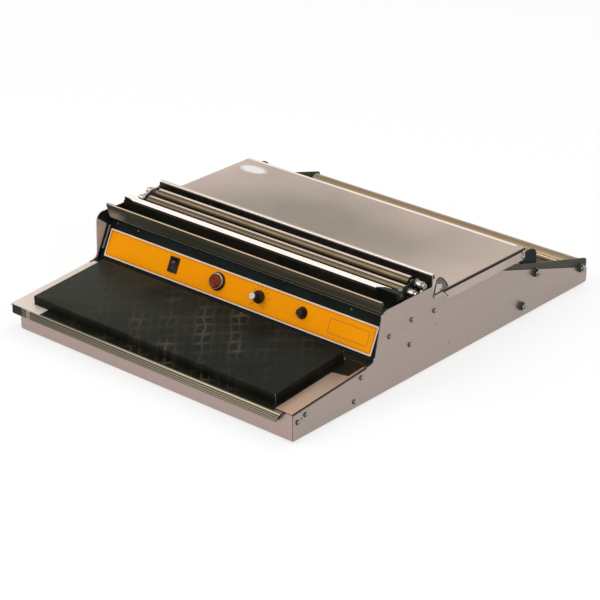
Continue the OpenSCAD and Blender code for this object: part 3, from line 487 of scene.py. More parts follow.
class Grain(Enum):
    """Direction in which a sheet or tube was brushed."""

    ACROSS = (25.0, 1100.0, 1100.0)
    ALONG = (1100.0, 25.0, 1100.0)
    TUBE = (2.0, 420.0, 420.0)


@dataclass(frozen=True)
class Finish:
    """A finish that can be built as a material."""

    name: str

    def build(self) -> bpy.types.Material:
        """Returns the finish's material, made on its first use.

        Returns:
            The material.
        """
        found = bpy.data.materials.get(self.name)
        if found:
            return found
        material = bpy.data.materials.new(self.name)
        material.use_nodes = True
        self.paint(Surface(material))
        return material

    def paint(self, net: Surface) -> None:
        """Fills in the shader's sockets; each finish has its own."""
        raise NotImplementedError


@dataclass(frozen=True)
class BrushedSheet(Finish):
    """Brushed stainless sheet with wiped patches, shaded folds and bright rubbed edges."""

    colour: Colour = (0.40, 0.33, 0.29)
    warm: Colour = (0.47, 0.37, 0.31)
    # Painted light: the colour laid on faces that point up.
    top: Colour = (0.42, 0.33, 0.26)
    # Painted shade over the level faces towards the rear right, and a darker patch of painted shade round
    # shade_spot.
    far: Colour | None = None
    far_slope: float = 1.4
    far_reach: tuple[float, float] = (-0.12, 0.4)
    shade: Colour | None = None
    shade_spot: Point = (0.0, 0.03, 0.104)
    shade_reach: tuple[float, float] = (0.04, 0.24)
    # Painted shadow in the slot along the side faces: the whole band at the rear and a thin line along its
    # top further forward.
    slot: tuple[float, float] | None = None
    slot_start: float = 286.5
    slot_line: float = 1.1
    slot_dark: Colour = (0.012, 0.011, 0.008)
    # Painted highlight: a pale line on the level faces of the rear hem.
    hem_start: float | None = None
    hem_end: float = 231.0
    hem: Colour = (0.86, 0.73, 0.65)
    # Painted dark reflection on the level faces along the rim's fold, beyond this distance from the middle.
    rim_line: float = 0.0
    rim_dark: Colour = (0.02, 0.016, 0.01)
    dark_corner: bool = False
    corner_dark: Colour = (0.010, 0.012, 0.011)
    corner_rise: float = 0.736
    corner_back: float = 0.466
    corner_limits: tuple[float, float] = (-0.0031, -0.177)
    roughness: float = 0.34
    grain: Grain = Grain.ACROSS
    metallic: float = 0.9
    scratch: float = 0.14
    # Painted dark reflection in the rounded folds.
    fold: float = 0.7
    fold_dark: Colour = (0.02, 0.018, 0.014)
    # Painted shade on the faces that point to the front.
    edge: float = 0.0
    edge_dark: Colour = (0.03, 0.028, 0.024)
    bright: Colour = (0.78, 0.74, 0.7)

    def paint(self, net: Surface) -> None:
        """Lays the painted light on level faces, the brushing, the painted dark reflection in the folds, the
        painted shade on front faces, the lines of painted light and shade, and the rubbed edges.

        Args:
            net: The material's net.
        """
        brush = net.effect(EFFECTS.grain, Stretch=self.grain.value)
        wiped = net.wiped(7.0)
        across, along, upward = net.facing
        net.base = self.colour
        net.lay(self.warm, wiped, 0.75)
        # Painted light on the faces that point up.
        net.lay(self.lying(net, wiped), net.rise(upward, 0.5, 0.9))
        net.lay(scaled(self.colour, 0.62), brush["Scratch"], self.scratch)
        # Painted dark reflection where the face turns between sideways and up, in the rounded folds.
        net.lay(self.fold_dark, net.span(net.times(net.size(across), upward), 0.0, self.fold, 0.12, 0.4))
        if self.edge:
            # Painted shade on the faces that point to the front.
            net.lay(self.edge_dark, net.span(along, self.edge, 0.0, -1.0, -0.8))
        self.lines(net)
        net.lay(self.bright, net.rubbed(0.0005), 0.4)
        drift = net.span(brush["Drift"], -0.05, 0.05)
        rough = net.plus(drift, net.span(wiped, self.roughness - 0.05, self.roughness + 0.08))
        net.close(rough, metallic=self.metallic)
        net.bump(brush["Scratch"], 0.12, 0.00003)

    def lying(self, net: Surface, wiped: Socket) -> Socket:
        """Returns the painted light colour where the sheet lies level.

        Args:
            net: The material's net.
            wiped: Mask of its wiped patches.

        Returns:
            The colour, with its painted far shade and the darker patch of painted shade in the middle.
        """
        colour = net.blend(net.times(wiped, 0.6), self.top, self.warm)
        if self.far:
            away = net.plus(net.spot[0], net.times(net.spot[1], self.far_slope))
            colour = net.blend(net.rise(away, *self.far_reach), colour, self.far)
        if self.shade:
            drift = net.span(net.noise(net.place, 5.0), -0.07, 0.07, 0.3, 0.7)
            reach = net.plus(net.vectors("DISTANCE", net.place, self.shade_spot), drift)
            colour = net.blend(net.fade(reach, *self.shade_reach), colour, self.shade)
        return colour

    def lines(self, net: Surface) -> None:
        """Lays the painted shadow in the slot, the painted highlight on the rear hem, the painted dark
        reflection along the rim and the dark corner.

        Args:
            net: The material's net.
        """
        x, y, z = net.spot
        across, _, upward = net.facing
        if self.slot:
            low, high = (DRAWING.level(height) for height in self.slot)
            behind = net.above(y, DRAWING.depth(self.slot_start))
            whole = net.more(behind, net.above(z, high - self.slot_line / 1000))
            # Painted shadow in the slot.
            net.lay(self.slot_dark, net.within(z, low, high), whole, net.above(net.size(across), 0.7))
        if self.hem_start:
            # Painted highlight along the rear hem.
            rear = net.above(y, DRAWING.depth(self.hem_start))
            net.lay(self.hem, rear, net.above(upward, 0.6), net.below(x, self.hem_end / 1000))
        if self.rim_line:
            # Painted dark reflection along the rim's fold.
            net.lay(self.rim_dark, net.above(net.size(x), self.rim_line / 1000), net.above(upward, 0.6))
        if self.dark_corner:
            high = net.above(net.plus(z, net.times(y, self.corner_rise)), self.corner_limits[0])
            rear = net.less(y, net.times(z, self.corner_back))
            dark = net.more(high, net.above(rear, self.corner_limits[1]))
            net.lay(self.corner_dark, dark, net.above(across, 0.5))


@dataclass(frozen=True)
class RolledLip(Finish):
    """Rolled lip of the sealing table: lengthwise lines of painted reflection, pale and olive by turns."""

    pale: Colour = (0.56, 0.455, 0.34)
    olive: Colour = (0.115, 0.098, 0.062)
    deep: Colour = (0.018, 0.02, 0.016)
    pitch: float = 0.0031
    brightening: tuple[float, float] = (-0.18, 0.1)
    corner: float = -0.2215
    glint: tuple[float, float] = (-0.213, -0.206)
    roughness: float = 0.34
    metallic: float = 0.9

    def paint(self, net: Surface) -> None:
        """Lays the painted reflection lines, darker to the left, and the dark corner with its painted glint.

        Args:
            net: The material's net.
        """
        x, y, z = net.spot
        drift = net.noise(net.place, 6.0)
        run = net.plus(net.less(z, y), net.times(drift, 0.0008))
        coarse, fine = net.wave(run, self.pitch), net.wave(run, self.pitch / 2.6)
        lines = net.plus(net.times(coarse, 0.7), net.times(fine, 0.3))
        right = net.span(x, 0.45, 1.0, *self.brightening)
        net.base = net.blend(right, self.deep, self.olive)
        # Painted reflection: pale lines along the lip, weaker to the left.
        net.lay(self.pale, net.rise(lines, 0.2, 0.9), right)
        upright = net.below(net.facing[1], -0.6)
        net.lay(self.deep, net.below(x, self.corner), upright)
        # Painted glint near the left corner.
        net.lay(self.pale, net.within(x, *self.glint), upright, 0.35)
        net.close(net.span(drift, self.roughness - 0.04, self.roughness + 0.08), metallic=self.metallic)
        net.bump(lines, 0.2, 0.0001)


@dataclass(frozen=True)
class PaintedSheet(Finish):
    """Painted sheet with dust, faint orange peel and worn edges."""

    colour: Colour = (0.0045, 0.0075, 0.0065)
    bare: Colour = (0.16, 0.16, 0.14)
    roughness: float = 0.26
    gloss: float = 0.05

    def paint(self, net: Surface) -> None:
        """Lays the paint, its dust and its worn edges.

        Args:
            net: The material's net.
        """
        wiped = net.wiped(14.0)
        net.base = self.colour
        net.lay(scaled(self.colour, 1.5, 0.002), wiped)
        net.lay(DUST, net.dust(210.0, 0.05), 0.2)
        net.lay(self.bare, net.rubbed(0.0006), 0.6)
        net.close(net.span(wiped, self.roughness - 0.06, self.roughness + 0.1), self.gloss)
        net.bump(net.noise(net.place, 700.0), 0.1, 0.00003)


def bands(*stops: tuple[float, int, int, int]) -> tuple[Band, ...]:
    """Returns colour stops from places and screen colours."""
    return tuple((place, tone(*screen)) for place, *screen in stops)


# Painted highlights and shade round the girth of each roller, by the angle that its surface faces.
GUIDE_LIGHT_BANDS = bands(
    (0.0, 70, 62, 50), (0.3, 24, 20, 14), (0.39, 26, 22, 15), (0.41, 136, 108, 76), (0.43, 120, 96, 68),
    (0.445, 40, 36, 25), (0.5, 58, 53, 38), (0.535, 84, 76, 55), (0.555, 58, 53, 38), (0.572, 108, 90, 64),
    (0.584, 58, 53, 38), (0.6, 118, 98, 71), (0.612, 62, 57, 42), (0.628, 124, 104, 76),
    (0.641, 66, 60, 44), (0.656, 116, 98, 73), (0.675, 70, 64, 48), (0.698, 88, 77, 59),
    (0.71, 236, 210, 196), (0.79, 240, 216, 203), (0.83, 150, 132, 116), (1.0, 70, 62, 50),
)
CRADLE_LIGHT_BANDS = bands(
    (0.0, 110, 98, 74), (0.3, 44, 36, 24), (0.4, 120, 96, 62), (0.45, 52, 40, 24), (0.48, 140, 118, 82),
    (0.5, 46, 36, 22), (0.52, 50, 42, 28), (0.54, 228, 206, 176), (0.575, 226, 204, 172),
    (0.59, 84, 72, 48), (0.61, 138, 118, 90), (0.66, 158, 134, 106), (0.7, 134, 112, 86),
    (0.76, 172, 146, 118), (0.84, 178, 154, 128), (1.0, 110, 98, 74),
)
# Painted light and shade in bands up the guard's face.
GUARD_LIGHT_BANDS = bands(
    (0.0, 166, 160, 146), (0.06, 156, 148, 134), (0.085, 38, 37, 27), (0.25, 50, 49, 36),
    (0.29, 108, 100, 78), (0.32, 54, 52, 38), (0.54, 62, 59, 44), (0.57, 34, 34, 25), (0.61, 66, 62, 49),
    (0.88, 76, 71, 56), (0.93, 40, 38, 29), (1.0, 40, 38, 29),
)


@dataclass(frozen=True)
class DrawnTube(Finish):
    """Drawn or plated tube with painted highlights and shade round its girth in dark and light bands, and
    lengthwise streaks.
    """

    bands: tuple[Band, ...] = GUIDE_LIGHT_BANDS
    dark: Colour = (0.035, 0.03, 0.018)
    bright: Colour = (0.7, 0.66, 0.58)
    roughness: float = 0.26
    metallic: float = 0.8
    streaks: float = 0.2

    def paint(self, net: Surface) -> None:
        """Lays the painted light and shade bands round the girth, the streaks and the rubbed ends.

        Args:
            net: The material's net.
        """
        brush = net.effect(EFFECTS.grain, Stretch=Grain.TUBE.value)
        wiped = net.wiped(24.0)
        _, along, upward = net.facing
        turn = net.rise(net.math("ARCTAN2", upward, net.times(along, -1.0)), -math.pi, math.pi)
        # Painted highlights and shade by the angle the surface faces round the tube.
        net.base = net.ramp(net.plus(turn, net.span(brush["Drift"], -0.008, 0.008)), self.bands)
        net.lay(self.dark, brush["Scratch"], self.streaks)
        net.lay(self.dark, wiped, self.streaks)
        net.lay(self.bright, net.rubbed(0.0005), 0.3)
        net.close(net.span(wiped, self.roughness, self.roughness + 0.14), metallic=self.metallic)
        net.bump(brush["Scratch"], 0.12, 0.00003)


@dataclass(frozen=True)
class GuardCoat(Finish):
    """Olive coat of the guard: long bands of painted light and shade up its face, darker to the left, with
    painted shade on its top and a painted highlight on its front edge.
    """

    foot: float = 103.76
    height: float = 19.0
    face_y: float = 168.78
    edge_depth: float = 1.5
    hem_share: float = 0.085
    dark_reach: tuple[float, float] = (-0.12, 0.06)
    pale_reach: tuple[float, float] = (-0.222, -0.2)
    dark: Colour = tone(36, 38, 28)
    pale: Colour = tone(150, 136, 120)
    # Painted highlight along the front of the guard's top.
    edge: Colour = tone(214, 182, 146)
    gloss: float = 0.12

    def paint(self, net: Surface) -> None:
        """Lays the painted light and shade bands, the dark left part, the pale patch at its end, the painted
        shade on the top and the painted highlight on its front edge.

        Args:
            net: The material's net.
        """
        x, y, z = net.spot
        wiped = net.wiped(14.0)
        share = net.rise(z, DRAWING.level(self.foot), DRAWING.level(self.foot + self.height))
        # Painted light and shade bands up the face.
        net.base = net.ramp(share, GUARD_LIGHT_BANDS)
        net.lay(self.dark, net.span(x, 0.8, 0.0, *self.dark_reach), net.within(share, self.hem_share, 0.97))
        net.lay(self.pale, net.span(x, 0.8, 0.0, *self.pale_reach), net.fade(share, 0.3, 0.75))
        net.lay(self.dark, wiped, 0.2)
        # Painted shade on the top faces, with the painted highlight along the front.
        lying = net.above(net.facing[2], 0.5)
        net.lay(self.dark, lying)
        net.lay(self.edge, lying, net.below(y, DRAWING.depth(self.face_y + self.edge_depth)))
        net.lay(DUST, net.dust(210.0, 0.05), 0.15)
        net.close(net.span(wiped, 0.3, 0.46), self.gloss)
        net.bump(net.noise(net.place, 700.0), 0.1, 0.00003)


@dataclass(frozen=True)
class PlatedSteel(Finish):
    """Zinc or nickel plated fasteners and axles, a little blotched, dark on the side away from the light."""

    colour: Colour = (0.50, 0.47, 0.42)
    shade: Colour = (0.05, 0.045, 0.04)
    specks: Colour = (0.12, 0.1, 0.08)
    roughness: float = 0.22
    flank: float = 0.0

    def paint(self, net: Surface) -> None:
        """Lays the blotches, the painted shade on the flanks and underside, and the specks.

        Args:
            net: The material's net.
        """
        wiped = net.wiped(120.0)
        across, _, upward = net.facing
        net.base = self.colour
        net.lay(scaled(self.colour, 0.6), wiped)
        if self.flank:
            # Painted shade on the flanks, the faces that don't point across.
            net.lay(self.shade, net.fade(net.size(across), self.flank - 0.12, self.flank))
        # Painted shade on the underside.
        net.lay(self.shade, net.fade(upward, -0.5, 0.25))
        net.lay(self.specks, net.dust(900.0, 0.2), 0.4)
        net.close(net.span(wiped, self.roughness, self.roughness + 0.18), metallic=1.0)
        net.bump(wiped, 0.1, 0.00005)


@dataclass(frozen=True)
class MouldedPlastic(Finish):
    """Moulded plastic with a fine spark texture and polished, rubbed edges."""

    colour: Colour = (0.0075, 0.0062, 0.0042)
    rubbed: Colour = (0.032, 0.029, 0.025)
    roughness: float = 0.34
    gloss: float = 0.18

    def paint(self, net: Surface) -> None:
        """Lays the wiped patches and the rubbed edges.

        Args:
            net: The material's net.
        """
        wiped = net.wiped(60.0)
        net.base = self.colour
        net.lay(self.rubbed, wiped, 0.4)
        net.lay(self.rubbed, net.rubbed(0.0004), 0.7)
        net.close(net.span(wiped, self.roughness - 0.08, self.roughness + 0.08), self.gloss)
        net.bump(net.noise(net.place, 2600.0, 3.0), 0.2, 0.00003)


@dataclass(frozen=True)
class PrintedFilm(Finish):
    """Printed film: an even colour with a fine texture and slight fading."""

    colour: Colour = (0.97, 0.32, 0.0005)
    faded: Colour = (0.98, 0.345, 0.001)
    roughness: float = 0.42
    gloss: float = 0.03

    def paint(self, net: Surface) -> None:
        """Lays the faded patches.

        Args:
            net: The material's net.
        """
        wiped = net.wiped(11.0)
        net.base = self.colour
        net.lay(self.faded, wiped)
        net.close(net.span(wiped, self.roughness - 0.05, self.roughness + 0.06), self.gloss)
        net.bump(net.cells(1500.0), 0.08, 0.00003)


@dataclass(frozen=True)
class CoatedCloth(Finish):
    """Woven glass cloth under a non-stick coat, pressed into a faint quilting by the plate."""

    colour: Colour = (0.0055, 0.0056, 0.0038)
    # Painted light on the top of the raised plate.
    lying: Colour = (0.019, 0.0185, 0.0125)
    worn: Colour = (0.07, 0.064, 0.045)
    roughness: float = 0.3
    pitch: float = 0.0115
    bias: float = 0.7
    wander: float = 0.012
    column: float = 0.044
    column_start: float = 0.006
    pale_reach: tuple[float, float] = (-0.12, 0.02)
    quilt_start: tuple[float, float] = (-0.16, 0.0)
    quilt_end: tuple[float, float] = (0.1, 0.2)
    half_plate: float = 6.0
    gloss: float = 0.04

    def paint(self, net: Surface) -> None:
        """Lays painted light on the top of the raised plate, stronger to the left, the wiped patches and the
        quilting.

        Args:
            net: The material's net.
        """
        wiped = net.wiped(16.0)
        upward = net.facing[2]
        net.base = self.colour
        left = net.span(net.spot[0], 1.0, 0.3, *self.pale_reach)
        # Painted light on the raised plate's top faces, stronger to the left.
        net.lay(self.lying, net.above(upward, 0.8), left, self.raised(net))
        net.lay(self.worn, wiped, 0.12)
        quilt, shown = self.quilting(net)
        net.lay(self.worn, quilt, shown, net.span(upward, 0.5, 1.0, 0.3, 0.8), 0.8)
        net.close(net.span(wiped, self.roughness - 0.06, self.roughness + 0.12), self.gloss)
        weave = net.effect(EFFECTS.weave, Pitch=420.0)["Height"]
        net.bump(net.plus(net.times(weave, 0.12), net.times(quilt, 0.4)), 0.2, 0.0001)

    def raised(self, net: Surface) -> Socket:
        """Returns 1 on the raised plate and 0 on the skirt, with the rim's slope taken off.

        Args:
            net: The material's net.

        Returns:
            The output socket.
        """
        slope = math.tan(math.radians(DRAWING.rim_angle))
        level = DRAWING.level(DRAWING.rim_height(DRAWING.middle_y) + self.half_plate)
        return net.above(net.less(net.spot[2], net.times(net.spot[1], slope)), level)

    def quilting(self, net: Surface) -> tuple[Socket, Socket]:
        """Works out the quilting.

        Args:
            net: The material's net.

        Returns:
            The ribs from 0 to 1, and the share to which they show in each place.
        """
        turn = net.add("VectorRotate", {"rotation_type": "Z_AXIS"}, Vector=net.place, Angle=-self.bias)
        across, along, _ = net.parts(turn.outputs[0])
        shift = net.times(net.less(net.noise(net.place, 30.0), 0.5), self.wander)
        ribs = [
            net.size(net.wave(net.plus(run, shift), pitch))
            for run, pitch in ((across, self.pitch * 2.0), (along, self.pitch * 4.0))
        ]
        quilt = net.fade(net.math("MINIMUM", *ribs), 0.0, 0.62)
        column = net.wave(net.plus(across, self.column_start), self.column)
        patch = net.noise(net.place, 16.0, 3.0, Roughness=0.6)
        x = net.spot[0]
        reach = net.times(net.span(x, 0.25, 1.0, *self.quilt_start), net.fade(x, *self.quilt_end))
        shown = net.times(net.rise(patch, 0.36, 0.64), reach, net.span(column, 0.25, 1.0, -0.5, 0.9))
        return quilt, shown


@dataclass(frozen=True)
class StripCloth(Finish):
    """Pale non-stick cloth over the cutter's pad, browned along the band, with painted shade on its front
    flank.
    """

    colour: Colour = (0.95, 0.85, 0.79)
    scorched: Colour = (0.5, 0.36, 0.25)
    # Painted shade of the front flank.
    flank: Colour = (0.03, 0.027, 0.02)
    band: tuple[float, float] = (0.0006, 0.0022)

    def paint(self, net: Surface) -> None:
        """Lays the brown line over the band and the painted shade on the front flank.

        Args:
            net: The material's net.
        """
        wiped = net.wiped(45.0)
        off = net.size(net.less(net.spot[1], DRAWING.depth(DRAWING.cutter_y)))
        net.base = self.colour
        net.lay(self.scorched, net.fade(off, *self.band), wiped, 0.3)
        # Painted shade on the faces that point to the front.
        net.lay(self.flank, net.below(net.facing[1], -0.5))
        net.close(net.span(wiped, 0.4, 0.6))
        net.bump(net.effect(EFFECTS.weave, Pitch=700.0)["Height"], 0.25, 0.00006)


@dataclass(frozen=True)
class LensPlastic(Finish):
    """Red moulding of the lens, shaded by small pyramids."""

    colour: Colour = (0.36, 0.055, 0.012)
    deep: Colour = (0.12, 0.02, 0.007)
    gloss: float = 0.12

    def paint(self, net: Surface) -> None:
        """Lays the deeper red at the pyramids' feet.

        Args:
            net: The material's net.
        """
        facets = net.cells(520.0, Randomness=0.25)
        shade = net.rise(facets, 0.1, 0.6)
        net.base = self.colour
        net.lay(self.deep, shade)
        net.close(net.span(shade, 0.1, 0.26), self.gloss)
        net.bump(facets, 0.3, 0.0002)


@dataclass(frozen=True)
class GlassTube(Finish):
    """Clear glass of the fuse."""

    colour: Colour = (0.8, 0.86, 0.86)
    dull: Colour = (0.6, 0.64, 0.64)
    clear: float = 0.8

    def paint(self, net: Surface) -> None:
        """Lays the dull patches and lets the light through.

        Args:
            net: The material's net.
        """
        wiped = net.wiped(200.0)
        net.base = self.colour
        net.lay(self.dull, wiped)
        net.close(net.span(wiped, 0.04, 0.15))
        net.shader.inputs["Transmission Weight"].default_value = self.clear


@dataclass(frozen=True)
class Printing(Finish):
    """Ink of a line or a number on the overlay."""

    colour: Colour = (0.6, 0.5, 0.42)

    def paint(self, net: Surface) -> None:
        """Lays the patches where the ink is thinner.

        Args:
            net: The material's net.
        """
        wiped = net.wiped(90.0)
        net.base = self.colour
        net.lay(scaled(self.colour, 0.85), wiped)
        net.close(net.span(wiped, 0.4, 0.55))


class Palette:
    """The finishes of the machine."""

    # The side sheet's rim line and front faces are painted dark reflection and painted shade.
    side = BrushedSheet(
        "side_sheet", (0.36, 0.302, 0.272), (0.41, 0.325, 0.285), (0.50, 0.315, 0.205),
        grain=Grain.ALONG, edge=0.85, rim_line=240.4,
    )
    rim = BrushedSheet(
        "pale_rim_sheet", (0.52, 0.47, 0.44), (0.56, 0.50, 0.46), (0.74, 0.61, 0.50),
        grain=Grain.ALONG, metallic=0.15, dark_corner=True,
    )
    front = BrushedSheet("front_sheet", (0.42, 0.325, 0.29), (0.46, 0.34, 0.305))
    lip = RolledLip("rolled_lip")
    inner = BrushedSheet("inner_sheet", (0.38, 0.36, 0.33), (0.42, 0.39, 0.35), (0.4, 0.37, 0.33))
    # The deck's far and middle shade, slot line and rear hem line are painted shade, shadow and highlight.
    deck = BrushedSheet(
        "work_table_sheet", (0.36, 0.30, 0.265), (0.56, 0.44, 0.38), (0.55, 0.425, 0.365), (0.46, 0.37, 0.31),
        shade=(0.27, 0.225, 0.18), roughness=0.4, scratch=0.06, slot=(96.9, 100.2), hem_start=458.4,
    )
    bright_sheet = BrushedSheet("hemmed_sheet", (0.5, 0.44, 0.38), (0.56, 0.47, 0.4), (0.6, 0.52, 0.45))
    bare_bracket = BrushedSheet(
        "bare_bracket", (0.2, 0.175, 0.165), (0.26, 0.23, 0.21), (0.5, 0.44, 0.41), fold=0.0,
    )
    # A darker copy of the stainless sheet: painted shade and dark reflection on the ears' folded-over leaves.
    ear = BrushedSheet("ear_shade_sheet", (0.11, 0.11, 0.105), (0.16, 0.15, 0.14), (0.2, 0.19, 0.17), fold=0.0)
    slab = BrushedSheet("cast_slab", (0.5, 0.5, 0.5), (0.46, 0.46, 0.45), (0.5, 0.5, 0.5), roughness=0.45)
    dull = PaintedSheet("dull_core", (0.05, 0.048, 0.045), (0.3, 0.29, 0.28), 0.5)
    black = PaintedSheet("black_paint")
    guard = GuardCoat("dark_olive_coat")
    bracket = PaintedSheet("olive_coat", (0.046, 0.049, 0.034), (0.2, 0.19, 0.15), 0.34)
    roller = DrawnTube("guide_roller_tube")
    cradle = DrawnTube("cradle_roller_tube", CRADLE_LIGHT_BANDS, (0.06, 0.045, 0.025))
    rail = PaintedSheet("dark_rail", (0.011, 0.010, 0.006), (0.1, 0.09, 0.07))
    plated = PlatedSteel("plated_steel")
    fastener = PlatedSteel("screw_steel", (0.8, 0.74, 0.68), (0.015, 0.013, 0.011), flank=0.84)
    nut = PlatedSteel("nut_steel", (0.62, 0.58, 0.52), (0.1, 0.094, 0.085), flank=0.7)
    dark_steel = PlatedSteel("blackened_steel", (0.08, 0.075, 0.065), (0.02, 0.02, 0.018), roughness=0.3)
    brass = PlatedSteel("drawn_brass", (0.6, 0.38, 0.14), roughness=0.3)
    wire = PlatedSteel("copper_wire", (0.55, 0.25, 0.11), (0.25, 0.1, 0.05), roughness=0.35)
    black_plastic = MouldedPlastic("black_moulding")
    pale_plastic = MouldedPlastic("pale_moulding", (0.66, 0.60, 0.56), (0.6, 0.55, 0.5), 0.45)
    laminate = MouldedPlastic("brown_laminate", (0.03, 0.02, 0.012), (0.06, 0.04, 0.025), 0.5)
    rubber = MouldedPlastic("foot_rubber", (0.018, 0.018, 0.018), (0.04, 0.04, 0.04), 0.75)
    overlay = PrintedFilm("orange_film")
    sticker = PrintedFilm("blank_sticker", (0.78, 0.74, 0.72), (0.7, 0.66, 0.64), 0.3)
    cloth = CoatedCloth("non_stick_cloth")
    strip = StripCloth("strip_cloth")
    lens = LensPlastic("faceted_red")
    glass = GlassTube("fuse_glass")
    pale_ink = Printing("pale_ink", (0.80, 0.72, 0.62))
    dark_ink = Printing("brown_ink", (0.06, 0.025, 0.008))
    line_ink = Printing("line_ink", (0.25, 0.075, 0.006))
    blue_ink = Printing("blue_ink", (0.03, 0.04, 0.2))
    red_ink = Printing("red_ink", (0.36, 0.06, 0.03))
    faded_ink = Printing("faded_ink", (0.6, 0.26, 0.2))


def dress(finish: Finish, *nodes: str) -> None:
    """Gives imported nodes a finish.

    Args:
        finish: The finish.
        *nodes: Names of the nodes.
    """
    for name in nodes:
        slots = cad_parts[name].data.materials
        slots.clear()
        slots.append(finish.build())


# Mesh helpers


@dataclass
class Mould:
    """Collects vertices and faces in millimetres of one local frame and makes them a piece."""

    points: list[Vector] = field(default_factory=list)
    faces: list[list[int]] = field(default_factory=list)

    def ring(self, points: Iterable[Point]) -> list[int]:
        """Adds the points of a ring.

        Args:
            points: The points, in order.

        Returns:
            Their numbers.
        """
        first = len(self.points)
        self.points.extend(Vector(p) for p in points)
        return list(range(first, len(self.points)))

    def skin(self, rings: Sequence[list[int]]) -> None:
        """Joins neighbouring closed rings of equal length by quads.

        Args:
            rings: The rings, in order.
        """
        for low, high in zip(rings, rings[1:]):
            for k, start in enumerate(low):
                n = (k + 1) % len(low)
                self.faces.append([start, low[n], high[n], high[k]])

    def tube(self, rings: Sequence[list[int]]) -> None:
        """Joins rings by quads and closes both ends."""
        self.skin(rings)
        self.faces.extend([rings[0][::-1], rings[-1]])

    def lathe(
        self, profile: Path, sides: int = 64, reach: Callable[[float, float], float] | None = None,
    ) -> None:
        """Turns a profile of radius and height about z.

        Args:
            profile: Radius and height of each ring, from the bottom up.
            sides: Number of steps round.
            reach: Optional factor on the radius from the angle and the height.
        """
        rings = []
        for radius, height in profile:
            around = []
            for k in range(sides):
                angle = math.tau * k / sides
                r = radius * (reach(angle, height) if reach else 1.0)
                around.append((r * math.cos(angle), r * math.sin(angle), height))
            rings.append(self.ring(around))
        self.tube(rings)

    def slab(self, outline: Path, low: float, high: float) -> None:
        """Raises a flat outline from one height to another."""
        self.tube([self.ring((x, y, z) for x, y in outline) for z in (low, high)])

    def band(self, outer: Path, inner: Path, low: float, high: float) -> None:
        """Raises the band between two outlines of as many points.

        Args:
            outer: The outer outline.
            inner: The inner outline.
            low: Height of its underside.
            high: Height of its top.
        """
        rings = [
            self.ring((x, y, z) for x, y in path)
            for path, z in ((outer, low), (outer, high), (inner, high), (inner, low))
        ]
        self.skin([*rings, rings[0]])

    def leaf(self, outline: Sequence[Point], offset: Point) -> None:
        """Adds a flat leaf: an outline in space and its copy at an offset, closed round the edge.

        Args:
            outline: Corners of one side.
            offset: Way from them to the other side.
        """
        self.tube([
            self.ring(tuple(p + d for p, d in zip(point, shift)) for point in outline)
            for shift in ((0.0, 0.0, 0.0), offset)
        ])

    def spoke(self, degrees: float, near: float, far: float, half: float, low: float, high: float) -> None:
        """Raises a straight bar that points away from the origin.

        Args:
            degrees: Its direction.
            near: Distance of its near end.
            far: Distance of its far end.
            half: Half its width.
            low: Height of its underside.
            high: Height of its top.
        """
        along = Vector((math.cos(math.radians(degrees)), math.sin(math.radians(degrees))))
        side = Vector((-along.y, along.x)) * half
        start, end = along * near, along * far
        self.slab([tuple(start - side), tuple(end - side), tuple(end + side), tuple(start + side)], low, high)

    def make(
        self, name: str, finish: Finish, body: str, slot: str, matrix: Matrix, smooth: bool = False,
    ) -> bpy.types.Object:
        """Makes the piece.

        Args:
            name: Name of the piece.
            finish: Its finish.
            body: The body that it moves with.
            slot: The record's material slot; not used.
            matrix: Its frame; the mesh's millimetres are scaled to metres.
            smooth: Whether its faces are shaded smooth where they meet at a low angle.

        Returns:
            The piece.
        """
        mesh = bpy.data.meshes.new(name)
        mesh.from_pydata([p / 1000 for p in self.points], [], self.faces)
        mesh.transform(matrix)
        work = bmesh.new()
        work.from_mesh(mesh)
        bmesh.ops.recalc_face_normals(work, faces=work.faces)
        work.to_mesh(mesh)
        work.free()
        if smooth:
            mesh.shade_smooth()
            mesh.set_sharp_from_angle(angle=math.radians(40))
        return show(mesh, finish, body)


def show(mesh: bpy.types.Mesh, finish: Finish, body: str) -> bpy.types.Object:
    """Makes a mesh a piece of the scene.

    Args:
        mesh: The mesh, whose name the piece takes.
        finish: Its finish.
        body: The body that it moves with.

    Returns:
        The piece.
    """
    piece = bpy.data.objects.new(mesh.name, mesh)
    bpy.context.scene.collection.objects.link(piece)
    mesh.materials.clear()
    mesh.materials.append(finish.build())
    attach(piece, body)
    return piece


def rounded_box(x0: float, y0: float, x1: float, y1: float, radius: float, steps: int = 6) -> Path:
    """Returns the outline of a rectangle with round corners, counterclockwise.

    Args:
        x0: Left side.
        y0: Front side.
        x1: Right side.
        y1: Rear side.
        radius: Radius of the corners.
        steps: Steps round each corner.

    Returns:
        The outline.
    """
    points = []
    for cx, cy, start in (
        (x1 - radius, y0 + radius, -90), (x1 - radius, y1 - radius, 0),
        (x0 + radius, y1 - radius, 90), (x0 + radius, y0 + radius, 180),
    ):
        for k in range(steps + 1):
            angle = math.radians(start + 90 * k / steps)
            points.append((cx + radius * math.cos(angle), cy + radius * math.sin(angle)))
    return points


def oval(width: float, height: float, steps: int = 64, lift: float = 0.0) -> Path:
    """Returns the outline of an oval, lifted above the origin."""
    turns = [math.tau * k / steps for k in range(steps)]
    return [(width / 2 * math.cos(turn), height / 2 * math.sin(turn) + lift) for turn in turns]


# Sub-assemblies


